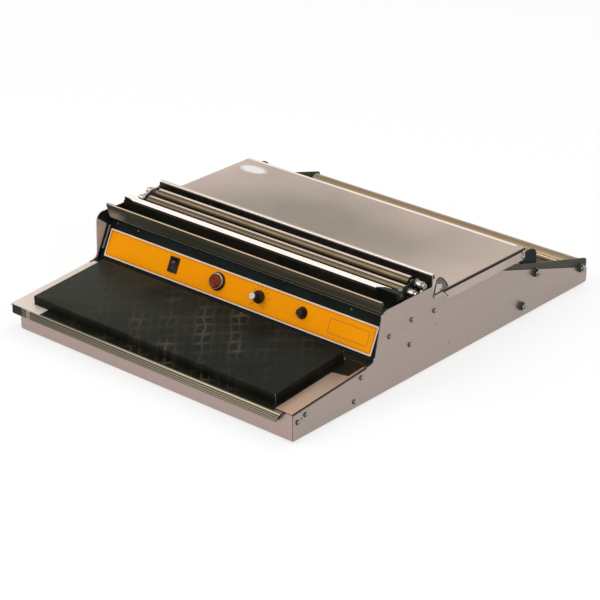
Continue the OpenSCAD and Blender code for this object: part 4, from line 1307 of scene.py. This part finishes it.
@dataclass
class SheetBody:
    """Side panels, front, bottom and bulkhead."""

    nut_size: float = 11.0
    nut_levels: tuple[float, ...] = (0.0, 0.25, 0.6, 1.2, 2.5, 3.8, 4.4, 4.75, 5.0)
    chamfer_start: float = 1.02
    chamfer_slope: float = 1.2
    washer: float = 1.0
    washer_radius: float = 6.4
    washer_edge: float = 0.15
    axle_ends: tuple[tuple[float, float], ...] = ((491.5, 55.03), (599.5, 25.12), (463.5, 15.5))
    screw_rise: float = 1.98
    recess_arm: float = 1.3
    recess_width: float = 0.28
    recess_rise: float = 0.06
    screw_spots: tuple[tuple[float, float], ...] = (
        (8.5, 23.0), (22.6, 28.0), (114.4, 9.0), (127.0, 37.32), (180.72, 73.6), (221.98, 47.5),
        (224.98, 80.8), (270.98, 77.2),
    )

    def build(self) -> None:
        """Dresses the sheets and makes the nuts."""
        dress(Palette.side, "side_panel_right")
        dress(Palette.rim, "side_panel_left")
        dress(Palette.front, "front_panel")
        dress(Palette.lip, "table_plate")
        dress(Palette.inner, "base_plate", "rear_bulkhead")
        dress(Palette.plated, "tie_rod")
        dress(Palette.fastener, "side_screws")
        dress(Palette.rubber, "feet")
        dress(Palette.black_plastic, "cable_gland")
        self.nuts()
        self.recesses()

    def recesses(self) -> None:
        """Makes the cross recesses of the screws in both side panels."""
        mould = Mould()
        arm, width = self.recess_arm, self.recess_width
        for side in (1, -1):
            x = side * (DRAWING.half_width + self.screw_rise)
            for y, z in self.screw_spots:
                for a, b in ((arm, width), (width, arm)):
                    corners = [(x, y + a * u, z + b * v) for u, v in ((-1, -1), (1, -1), (1, 1), (-1, 1))]
                    mould.leaf(corners, (side * self.recess_rise, 0, 0))
        mould.make("screw_recesses", Palette.black, HOUSING, "black_sheet", DRAWING.at(0, 0, 0))

    def nut_reach(self, angle: float, height: float) -> float:
        """Returns the reach of a chamfered hexagon at an angle and a height.

        Args:
            angle: Angle round the nut.
            height: Height from its foot.

        Returns:
            The factor on half its width over flats.
        """
        flat = self.nut_size / 2
        side = flat / math.cos((angle + math.pi / 6) % (math.pi / 3) - math.pi / 6)
        edge = min(height, self.nut_levels[-1] - height)
        return min(side, flat * self.chamfer_start + edge * self.chamfer_slope) / flat

    def nuts(self) -> None:
        """Makes the washers and chamfered nuts on the ends of the axles."""
        disc, nut, mould = Mould(), Mould(), Mould()
        rim, edge = self.washer_radius, self.washer_edge
        disc.lathe([(rim - 0.1, 0.0), (rim, edge), (rim, self.washer - edge), (rim - 0.1, self.washer)])
        nut.lathe([(self.nut_size / 2, level) for level in self.nut_levels], 96, self.nut_reach)
        for side in (1, -1):
            for y, z in self.axle_ends:
                for piece, lift in ((disc, 0.0), (nut, self.washer)):
                    out = DRAWING.half_width + lift
                    first = mould.ring((side * (out + p.z), y + p.x, z + p.y) for p in piece.points)[0]
                    mould.faces.extend([first + k for k in face] for face in piece.faces)
        whole = DRAWING.at(0, 0, 0)
        made = mould.make("chamfered_nuts", Palette.nut, HOUSING, "bright_metal", whole, smooth=True)
        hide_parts("axle_nuts")


@dataclass
class HotPlate:
    """The plate, its cover and what heats it."""

    left: float = -214.1
    right: float = 207.5
    front: float = 8.9
    depth: float = 129.2
    height: float = 12.0
    foot: float = -1.2
    corner: float = 2.4
    edge: float = 1.8
    edge_steps: int = 5
    gap: float = 0.1
    skirt_left: float = -187.1
    skirt_right: float = 214.1
    skirt_front: float = -3.4
    skirt_foot: float = -1.15
    skirt_level: float = -0.6
    notch: float = 105.0
    notch_slope: float = 5.0
    wing: float = 237.1
    rear: float = 142.0

    def build(self) -> None:
        """Dresses the plate and makes its cover."""
        dress(Palette.slab, "hot_plate")
        dress(Palette.dull, "heating_element")
        dress(Palette.inner, "element_clamps")
        dress(Palette.brass, "sensor_bulb")
        self.cover()

    def cover(self) -> None:
        """Makes the drawn cover with rounded edges and its flat skirt."""
        mould = Mould()
        profile = [(0.0, self.foot), (0.0, self.height - self.edge)]
        for k in range(1, self.edge_steps + 1):
            angle = math.radians(90 * k / self.edge_steps)
            inset, drop = self.edge * (1 - math.cos(angle)), self.edge * (1 - math.sin(angle))
            profile.append((inset, self.height - drop))
        rings = []
        for inset, level in profile:
            outline = rounded_box(
                self.left + inset, self.front + inset, self.right - inset, self.front + self.depth - inset,
                self.corner - inset * 0.9,
            )
            rings.append(mould.ring((x, y, level) for x, y in outline))
        mould.skin(rings)
        mould.faces.append(rings[-1])
        near, side = self.front - self.gap, self.right + self.gap
        for skirt in (
            [(self.skirt_left, self.skirt_front), (self.skirt_right, self.skirt_front),
             (self.skirt_right, near), (self.skirt_left, near)],
            [(side, near), (self.skirt_right, near), (self.skirt_right, self.notch),
             (self.wing, self.notch + self.notch_slope), (self.wing, self.rear), (side, self.rear)],
        ):
            mould.slab(skirt, self.skirt_foot, self.skirt_level)
        table = DRAWING.on_rim()
        made = mould.make("drawn_cover", Palette.cloth, HOUSING, "nonstick_cloth", table, smooth=True)
        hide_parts("plate_cover")


@dataclass
class ControlHousing:
    """The black housing, its overlay and the controls."""

    knob_x: float = 42.0
    lamp_x: float = -31.0
    switch_x: float = -110.0
    lamp_radius: float = 12.2
    lamp_tail: float = 8.0
    lens_rings: int = 9
    lens_cut: float = 0.28
    knob_radius: float = 8.5
    knob_length: float = 17.0
    flutes: int = 16
    flute_depth: float = 0.07
    ticks: int = 11
    tick_half: float = 0.45
    tick_near: float = 12.4
    tick_far: float = 14.4
    long_tick: float = 15.0
    number_radius: float = 16.6
    number_size: float = 2.8
    dial_start: float = 230.0
    sweep: float = 280.0
    line: float = 0.12
    sunk: float = 0.05
    rocker_tilt: float = 8.0
    mark_level: float = 3.0
    strip_outline: Path = ((-240.3, 12.0), (-237.4, 12.6), (-236.3, 46.0), (-239.3, 45.0))

    def build(self) -> None:
        """Dresses the housing and makes the printing, the knob and the switch marks."""
        dress(Palette.black, "control_panel")
        dress(Palette.overlay, "control_overlay")
        dress(Palette.black_plastic, "switch_frame", "switch_rocker", "fuse_holder", "fuse_cap")
        dress(Palette.plated, "thermostat_shaft")
        dress(Palette.dark_steel, "panel_screws")
        dress(Palette.inner, "thermostat")
        dress(Palette.pale_plastic, "knob_cap", "terminal_block")
        dress(Palette.glass, "fuse")
        dress(Palette.dull, "transformer_core")
        dress(Palette.wire, "transformer_coil")
        self.borders()
        self.dial()
        self.grip()
        self.switch_marks()
        self.lamp()
        self.end_strip()

    @property
    def printed(self) -> tuple[float, float]:
        """Lower and upper height of a printed line, from the housing's face."""
        return DRAWING.label_thickness - self.sunk, DRAWING.label_thickness + self.line

    def borders(self) -> None:
        """Makes the pale border, the thin line inside it and the bare outlined field at the right."""
        half, top = DRAWING.label_width / 2, DRAWING.label_height
        for name, finish, (x0, y0, x1, y1), radius, width in (
            ("overlay_border", Palette.pale_ink, (-half + 0.1, 0.1, half - 0.1, top - 0.1), 1.0, 1.6),
            ("overlay_line", Palette.line_ink, (-half + 3.0, 3.0, half - 3.0, top - 3.0), 1.4, 0.5),
            ("overlay_field", Palette.line_ink, (159, 9.5, 223, 28.5), 3.5, 0.6),
        ):
            mould = Mould()
            inner = rounded_box(x0 + width, y0 + width, x1 - width, y1 - width, max(radius - width, 0.1))
            mould.band(rounded_box(x0, y0, x1, y1, radius), inner, *self.printed)
            mould.make(name, finish, HOUSING, "overlay_film", DRAWING.on_face(0, DRAWING.label_foot))

    def dial(self) -> None:
        """Makes the ticks and numbers round the knob."""
        matrix = DRAWING.on_face(self.knob_x, DRAWING.control_height)
        mould = Mould()
        for k in range(self.ticks):
            degrees = self.dial_start - self.sweep * k / (self.ticks - 1)
            far = self.tick_far if k % 5 else self.long_tick
            mould.spoke(degrees, self.tick_near, far, self.tick_half, *self.printed)
        mould.make("dial_ticks", Palette.dark_ink, HOUSING, "overlay_film", matrix)
        for k in range(6):
            angle = math.radians(self.dial_start - self.sweep * k / 5)
            spot = (self.number_radius * math.cos(angle), self.number_radius * math.sin(angle))
            self.number(str(k), f"dial_number_{k}", spot, matrix)

    def number(self, words: str, name: str, spot: tuple[float, float], matrix: Matrix) -> None:
        """Makes one number of the dial as a thin mesh.

        Args:
            words: The number.
            name: Name of the piece.
            spot: Its middle on the dial.
            matrix: Frame of the dial.
        """
        curve = bpy.data.curves.new(name, "FONT")
        curve.body = words
        curve.size = self.number_size
        curve.align_x = curve.align_y = "CENTER"
        curve.extrude = self.line / 2
        made = bpy.data.objects.new(name, curve)
        bpy.context.scene.collection.objects.link(made)
        bpy.context.view_layer.update()
        mesh = bpy.data.meshes.new_from_object(made)
        bpy.data.objects.remove(made)
        lift = DRAWING.label_thickness + self.line / 2
        mesh.transform(matrix @ Matrix.Scale(0.001, 4) @ Matrix.Translation((*spot, lift)))
        mesh.name = name
        show(mesh, Palette.dark_ink, HOUSING)

    def grip(self) -> None:
        """Makes the knob: a skirt, a fluted and tapered grip and a pointer line."""
        r = self.knob_radius
        top = self.knob_length - 0.7

        def flute(angle: float, height: float) -> float:
            """Returns the flutes' cut into the grip."""
            depth = self.flute_depth if 6.0 < height < top - 0.2 else 0.0
            return 1.0 - depth * max(0.0, math.cos(self.flutes * angle)) ** 2

        mould, line = Mould(), Mould()
        mould.lathe([
            (r - 0.3, 1.8), (r, 2.1), (r, 4.3), (r - 0.2, 4.8), (r - 0.9, 5.2), (r * 0.72, 6.2),
            (r * 0.68, 7.4), (r * 0.66, 9.0), (r * 0.62, 12.0), (r * 0.585, 15.0), (r * 0.56, top - 0.4),
            (r * 0.5, top),
        ], 128, flute)
        matrix = DRAWING.on_face(self.knob_x, DRAWING.control_height)
        made = mould.make("fluted_knob", Palette.black_plastic, KNOB, "black_plastic", matrix, smooth=True)
        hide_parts("knob")
        line.spoke(self.dial_start, r * 0.74, r - 0.35, 0.35, 4.7, 5.45)
        line.make("knob_pointer", Palette.pale_ink, KNOB, "pale_plastic", matrix)

    def lamp(self) -> None:
        """Makes the pilot lamp: a black bezel, a bright ring and a domed lens cut in small facets."""
        matrix = DRAWING.on_face(self.lamp_x, DRAWING.control_height)
        r, tail, wide = self.lamp_radius, self.lamp_tail, self.lamp_radius - 2.7
        bezel, ring, lens = Mould(), Mould(), Mould()
        bezel.lathe([
            (tail, -20.0), (tail, -0.1), (tail, 0.0), (r, 0.0), (r, 1.9), (r - 0.4, 2.6), (r - 1.0, 2.9),
            (r - 2.0, 2.9),
        ], 96)
        made = bezel.make("lamp_collar", Palette.black_plastic, HOUSING, "black_plastic", matrix, smooth=True)
        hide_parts("lamp_bezel")
        ring.lathe([
            (r - 1.3, 2.8), (r - 1.3, 4.4), (r - 1.6, 5.2), (r - 2.0, 5.5), (r - 2.5, 5.5), (wide, 5.2),
        ], 96)
        made = ring.make("lamp_bright_ring", Palette.plated, HOUSING, "bright_metal", matrix, smooth=True)
        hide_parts("lamp_ring")
        profile = [(wide, 5.0), (wide, 7.4), (wide - 0.5, 8.1)]
        for k in range(1, self.lens_rings):
            share = k / self.lens_rings
            bulge = 8.3 + 1.9 * (1 - (1 - share) ** 2)
            profile.append(((wide - 0.6) * (1 - share), bulge + (self.lens_cut if k % 2 else -self.lens_cut)))
        lens.lathe(profile, 36)
        made = lens.make("faceted_lens", Palette.lens, HOUSING, "red_lens", matrix)
        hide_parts("lamp_lens")

    def end_strip(self) -> None:
        """Makes the narrow bright end strip of the housing beside the left side panel."""
        mould = Mould()
        mould.slab(self.strip_outline, 0.02, 0.3)
        mould.make("bright_end_strip", Palette.bright_sheet, HOUSING, "bright_metal", DRAWING.on_face(0, 0))

    def switch_marks(self) -> None:
        """Makes the line and ring marks on the rocker."""
        base = DRAWING.on_face(self.switch_x, DRAWING.control_height)
        tilt = Matrix.Rotation(math.radians(self.rocker_tilt), 4, "X")
        matrix = base @ Matrix.Translation((0, 0, -0.001)) @ tilt
        bar, ring = Mould(), Mould()
        bar.slab(rounded_box(-0.4, -5.6, 0.4, -2.4, 0.3), self.mark_level, self.mark_level + 0.3)
        bar.make("rocker_bar", Palette.red_ink, ROCKER, "pale_plastic", matrix)
        ring.band(oval(3.4, 3.4, 32, 4.6), oval(2.4, 2.4, 32, 4.6), self.mark_level, self.mark_level + 0.35)
        ring.make("rocker_ring", Palette.faded_ink, ROCKER, "pale_plastic", matrix)


@dataclass
class Cutter:
    """Guard, carrier, band and strip."""

    end_x: float = 227.0
    strip_half: float = 6.2
    cloth: float = 0.3
    clip_left: float = -23.0
    clip_right: float = 10.8
    clip_front: float = -6.6
    clip_sheet: float = 0.7
    clip_drop: float = -9.0
    clip_edge: Path = ((10.8, 6.5), (4.0, 3.8), (-6.0, 1.4), (-13.0, 0.6), (-17.0, -2.4), (-20.5, -5.2))
    left_rise: Path = ((-446.6, -0.3), (-449.0, 0.7), (-452.0, 2.0), (-456.0, 2.5), (-463.4, 2.5))
    right_rise: Path = ((-0.4, -0.3), (1.6, 0.5), (4.0, 1.3), (7.0, 1.5), (10.6, 1.5))
    right_front: float = -1.2

    def build(self) -> None:
        """Dresses the cutter and makes its clip and the strip's loose ends."""
        dress(Palette.guard, "guard_bar")
        dress(Palette.rail, "cutter_carrier")
        dress(Palette.laminate, "cutter_pad")
        dress(Palette.plated, "cutter_band", "tension_spring")
        dress(Palette.strip, "cutter_strip")
        dress(Palette.dark_steel, "cutter_terminals")
        self.clip()
        self.flaps()

    @property
    def end(self) -> Matrix:
        """Frame on the strip's top near its right end."""
        return DRAWING.at(self.end_x, DRAWING.cutter_y, DRAWING.cutter_top)

    def clip(self) -> None:
        """Makes the dark clip that covers the front half of the strip near its right end."""
        mould = Mould()
        front = [(self.clip_left, self.clip_front), (self.clip_right, self.clip_front)]
        back = [(x, y + self.clip_sheet) for x, y in reversed(front)]
        mould.slab([*front, *self.clip_edge], 0.02, 2.1)
        mould.slab([*front, *back], self.clip_drop, 0.1)
        mould.make("strip_clip", Palette.black, HOUSING, "black_sheet", self.end)

    def flaps(self) -> None:
        """Makes the strip's loose ends, which rise over the spring at the left and the post at the right."""
        half, cloth = self.strip_half, self.cloth
        for name, path, front in (
            ("strip_end_left", self.left_rise, -half),
            ("strip_end_right", self.right_rise, self.right_front),
        ):
            mould = Mould()
            mould.tube([
                mould.ring(((x, front, z), (x, half, z), (x, half, z + cloth), (x, front, z + cloth)))
                for x, z in path
            ])
            mould.make(name, Palette.strip, HOUSING, "nonstick_strip", self.end)


@dataclass
class Rollers:
    """Guide rollers and the film roll cradle."""

    def build(self) -> None:
        """Dresses the rollers, their axles and their brackets."""
        dress(Palette.black, "nip_bracket_right")
        dress(Palette.bare_bracket, "nip_bracket_left")
        dress(Palette.plated, "nip_axles", "nip_spacers", "cradle_axles")
        dress(Palette.roller, "nip_roller_front", "nip_roller_rear")
        dress(Palette.black_plastic, "nip_bushes_front", "nip_bushes_rear")
        dress(Palette.bracket, "roller_bracket_right", "roller_bracket_left")
        dress(Palette.cradle, "cradle_roller_front", "cradle_roller_rear")


@dataclass
class WorkTable:
    """The lift-up table, its bar, tabs and hinges."""

    front: float = 268.8
    ear_x: float = 242.8
    ear_lean: float = 3.0
    hem_width: float = 0.9
    hem_rise: float = 0.5
    flange_x: float = 244.0
    seam_top: float = 103.8
    seam_foot: float = 88.4
    seam_width: float = 1.4
    seam_rise: float = 0.2
    sticker_x: float = -208.0
    sticker_y: float = 432.0
    sticker_width: float = 46.0
    sticker_depth: float = 26.0

    def build(self) -> None:
        """Dresses the table and makes its ears, the painted shadows in its flange gaps and its bare sticker.
        """
        dress(Palette.deck, "deck")
        dress(Palette.bright_sheet, "deck_bar", "deck_tabs")
        dress(Palette.black_plastic, "deck_trim")
        dress(Palette.black, "deck_hinges")
        dress(Palette.plated, "deck_screws")
        self.ears()
        self.seams()
        self.sticker()

    def ears(self) -> None:
        """Makes the ears at the front corners: a front leaf, a leaf folded over it in a darker finish of
        painted shade and reflection, and dark hems.
        """
        shift = DRAWING.at(0, self.front, DRAWING.deck_height)
        front, top, hem = Mould(), Mould(), Mould()
        for side in (1, -1):
            x = side * self.ear_x
            lean = side * self.ear_lean
            skew = (-side * DRAWING.sheet, 0.0, 0.0)
            front.leaf([(x, 0.2, 0.0), (x, 16.0, 0.0), (x, 16.4, 8.4), (x, 3.4, 12.4)], skew)
            rise = [
                (x, 16.0, 0.0), (x, 29.0, 0.0), (x, 29.0, 2.2), (x - lean * 0.5, 26.2, 8.0),
                (x - lean * 0.8, 21.6, 13.6), (x - lean, 17.0, 16.8), (x - lean, 12.4, 17.4),
                (x - lean * 0.6, 7.5, 16.0), (x, 3.4, 12.4), (x, 16.4, 8.4),
            ]
            top.leaf(rise, skew)
            outer = [(x, 0.2, 0.0), *reversed(rise[2:9])]
            for low, high in zip(outer, outer[1:]):
                hem.leaf(self.hem(low, high, side), (side * self.hem_rise, 0.0, 0.0))
        made = front.make("ear_front_leaves", Palette.bright_sheet, WORK_TABLE, "stainless", shift)
        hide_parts("deck_tabs")
        # The folded-over leaves take a darker finish as painted shade and reflection.
        top.make("ear_top_leaves", Palette.ear, WORK_TABLE, "stainless", shift)
        hem.make("ear_hems", Palette.black, WORK_TABLE, "black_sheet", shift)

    def hem(self, low: Point, high: Point, side: int) -> list[Point]:
        """Returns the outline of a narrow dark hem along one edge of an ear, inside that edge.

        Args:
            low: First end of the edge.
            high: Second end of the edge.
            side: 1 at the right and -1 at the left.

        Returns:
            The hem's corners.
        """
        start, end = Vector(low), Vector(high)
        run = (end - start).normalized()
        inward = Vector((side, 0, 0)).cross(run).normalized() * self.hem_width * side
        return [tuple(start), tuple(end), tuple(end - inward), tuple(start - inward)]

    def seams(self) -> None:
        """Makes dark strips as painted shadow in the gaps at the slanted front ends of the side flanges."""
        mould = Mould()
        top, foot, width = self.seam_top, self.seam_foot, self.seam_width
        for side in (1, -1):
            corners = ((281.0, top), (281.0 + width, top), (296.8 + width, foot), (296.8, foot))
            mould.leaf([(side * self.flange_x, y, z) for y, z in corners], (side * self.seam_rise, 0, 0))
        mould.make("flange_gap_shadows", Palette.black, WORK_TABLE, "black_sheet", DRAWING.at(0, 0, 0))

    def sticker(self) -> None:
        """Lays a bare oval sticker with a printed rim near the rear left corner."""
        matrix = DRAWING.at(self.sticker_x, self.sticker_y, DRAWING.deck_height)
        width, depth = self.sticker_width, self.sticker_depth
        paper, rim = Mould(), Mould()
        paper.slab(oval(width, depth), 0.0, 0.1)
        paper.make("blank_oval", Palette.sticker, WORK_TABLE, "pale_plastic", matrix)
        rim.band(oval(width - 3, depth - 3), oval(width - 4.4, depth - 4.4), 0.05, 0.16)
        rim.make("oval_rim", Palette.blue_ink, WORK_TABLE, "pale_plastic", matrix)


# Studio


@dataclass
class Studio:
    """Floor, light and camera."""

    eye: Point = (1.78449, -2.08388, 1.29158)
    aim: Point = (0.05713, -0.0777, 0.053)
    roll: float = 0.3
    lens: float = 134.85
    floor_colour: Colour = (0.93, 0.93, 0.93)
    floor_half: float = 30.0
    floor_glow: float = 0.72
    daylight: float = 0.62

    def build(self) -> None:
        """Makes the floor, the world, the lamps and the camera."""
        scene = bpy.context.scene
        scene.view_settings.view_transform = "Standard"
        self.floor()
        self.world(scene)
        self.lamp("key_softbox", (-1.6, -2.2, 2.6), 46.0, 2.4)
        self.lamp("side_softbox", (2.8, -0.8, 1.6), 20.0, 2.0)
        self.lamp("top_softbox", (0.2, 0.9, 3.0), 26.0, 2.6)
        self.camera(scene)

    def floor(self) -> None:
        """Makes the pale floor."""
        mesh = bpy.data.meshes.new("floor")
        half = self.floor_half
        corners = [(-half, -half, 0), (half, -half, 0), (half, half, 0), (-half, half, 0)]
        mesh.from_pydata(corners, [], [(0, 1, 2, 3)])
        floor = bpy.data.objects.new("floor", mesh)
        bpy.context.scene.collection.objects.link(floor)
        material = bpy.data.materials.new("pale_floor")
        material.use_nodes = True
        net = Net(material.node_tree)
        shader = material.node_tree.nodes["Principled BSDF"]
        shader.inputs["Base Color"].default_value = (*self.floor_colour, 1)
        shader.inputs["Roughness"].default_value = 0.9
        shader.inputs["Specular IOR Level"].default_value = 0.1
        glow = net.add("Emission", Color=(1.0, 1.0, 1.0), Strength=1.0)
        path = net.add("LightPath").outputs
        seen = net.more(path["Is Camera Ray"], path["Is Glossy Ray"])
        mix = net.add("MixShader", None, net.times(seen, self.floor_glow), shader.outputs[0], glow.outputs[0])
        net.feed(material.node_tree.nodes["Material Output"], "Surface", mix.outputs[0])
        mesh.materials.append(material)

    def world(self, scene: bpy.types.Scene) -> None:
        """Makes the white surround: plain light for the object, white for the camera and for gloss.

        Args:
            scene: The scene.
        """
        world = bpy.data.worlds.new("surround")
        scene.world = world
        world.use_nodes = True
        net = Net(world.node_tree)
        back = world.node_tree.nodes["Background"]
        back.inputs["Color"].default_value = (1, 1, 1, 1)
        path = net.add("LightPath").outputs
        seen = net.more(path["Is Camera Ray"], path["Is Glossy Ray"])
        seen = net.more(seen, path["Is Transmission Ray"])
        net.feed(back, "Strength", net.span(seen, self.daylight, 1.0))

    @staticmethod
    def lamp(name: str, place: Point, power: float, size: float) -> None:
        """Makes a soft lamp that looks at the machine.

        Args:
            name: Its name.
            place: Where it stands.
            power: Its power in watts.
            size: Its side in metres.
        """
        light = bpy.data.lights.new(name, "AREA")
        light.energy = power
        light.size = size
        light.color = (1.0, 1.0, 1.0)
        made = bpy.data.objects.new(name, light)
        made.location = place
        made.rotation_mode = "QUATERNION"
        made.rotation_quaternion = (-Vector(place)).to_track_quat("-Z", "Y")
        bpy.context.scene.collection.objects.link(made)

    def camera(self, scene: bpy.types.Scene) -> None:
        """Makes the camera at the photograph's angle.

        Args:
            scene: The scene.
        """
        data = bpy.data.cameras.new("camera")
        data.sensor_width = 36.0
        data.lens = self.lens
        data.clip_start, data.clip_end = 0.1, 100.0
        back = (Vector(self.eye) - Vector(self.aim)).normalized()
        right = Vector((0, 0, 1)).cross(back).normalized()
        up = back.cross(right)
        turn = math.radians(self.roll)
        right, up = right * math.cos(turn) + up * math.sin(turn), up * math.cos(turn) - right * math.sin(turn)
        matrix = Matrix((right, up, back)).transposed().to_4x4()
        matrix.translation = Vector(self.eye)
        camera = bpy.data.objects.new("camera", data)
        scene.collection.objects.link(camera)
        camera.matrix_world = matrix
        scene.camera = camera


def main() -> None:
    """Builds the scene in order."""
    logging.basicConfig(level=logging.INFO, format="%(name)s: %(message)s")
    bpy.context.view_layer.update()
    Studio().build()
    log.info("studio ready")
    for part in (SheetBody(), HotPlate(), ControlHousing(), Cutter(), Rollers(), WorkTable()):
        part.build()
        log.info("%s dressed", type(part).__name__)


if __name__ == "__main__":
    main()
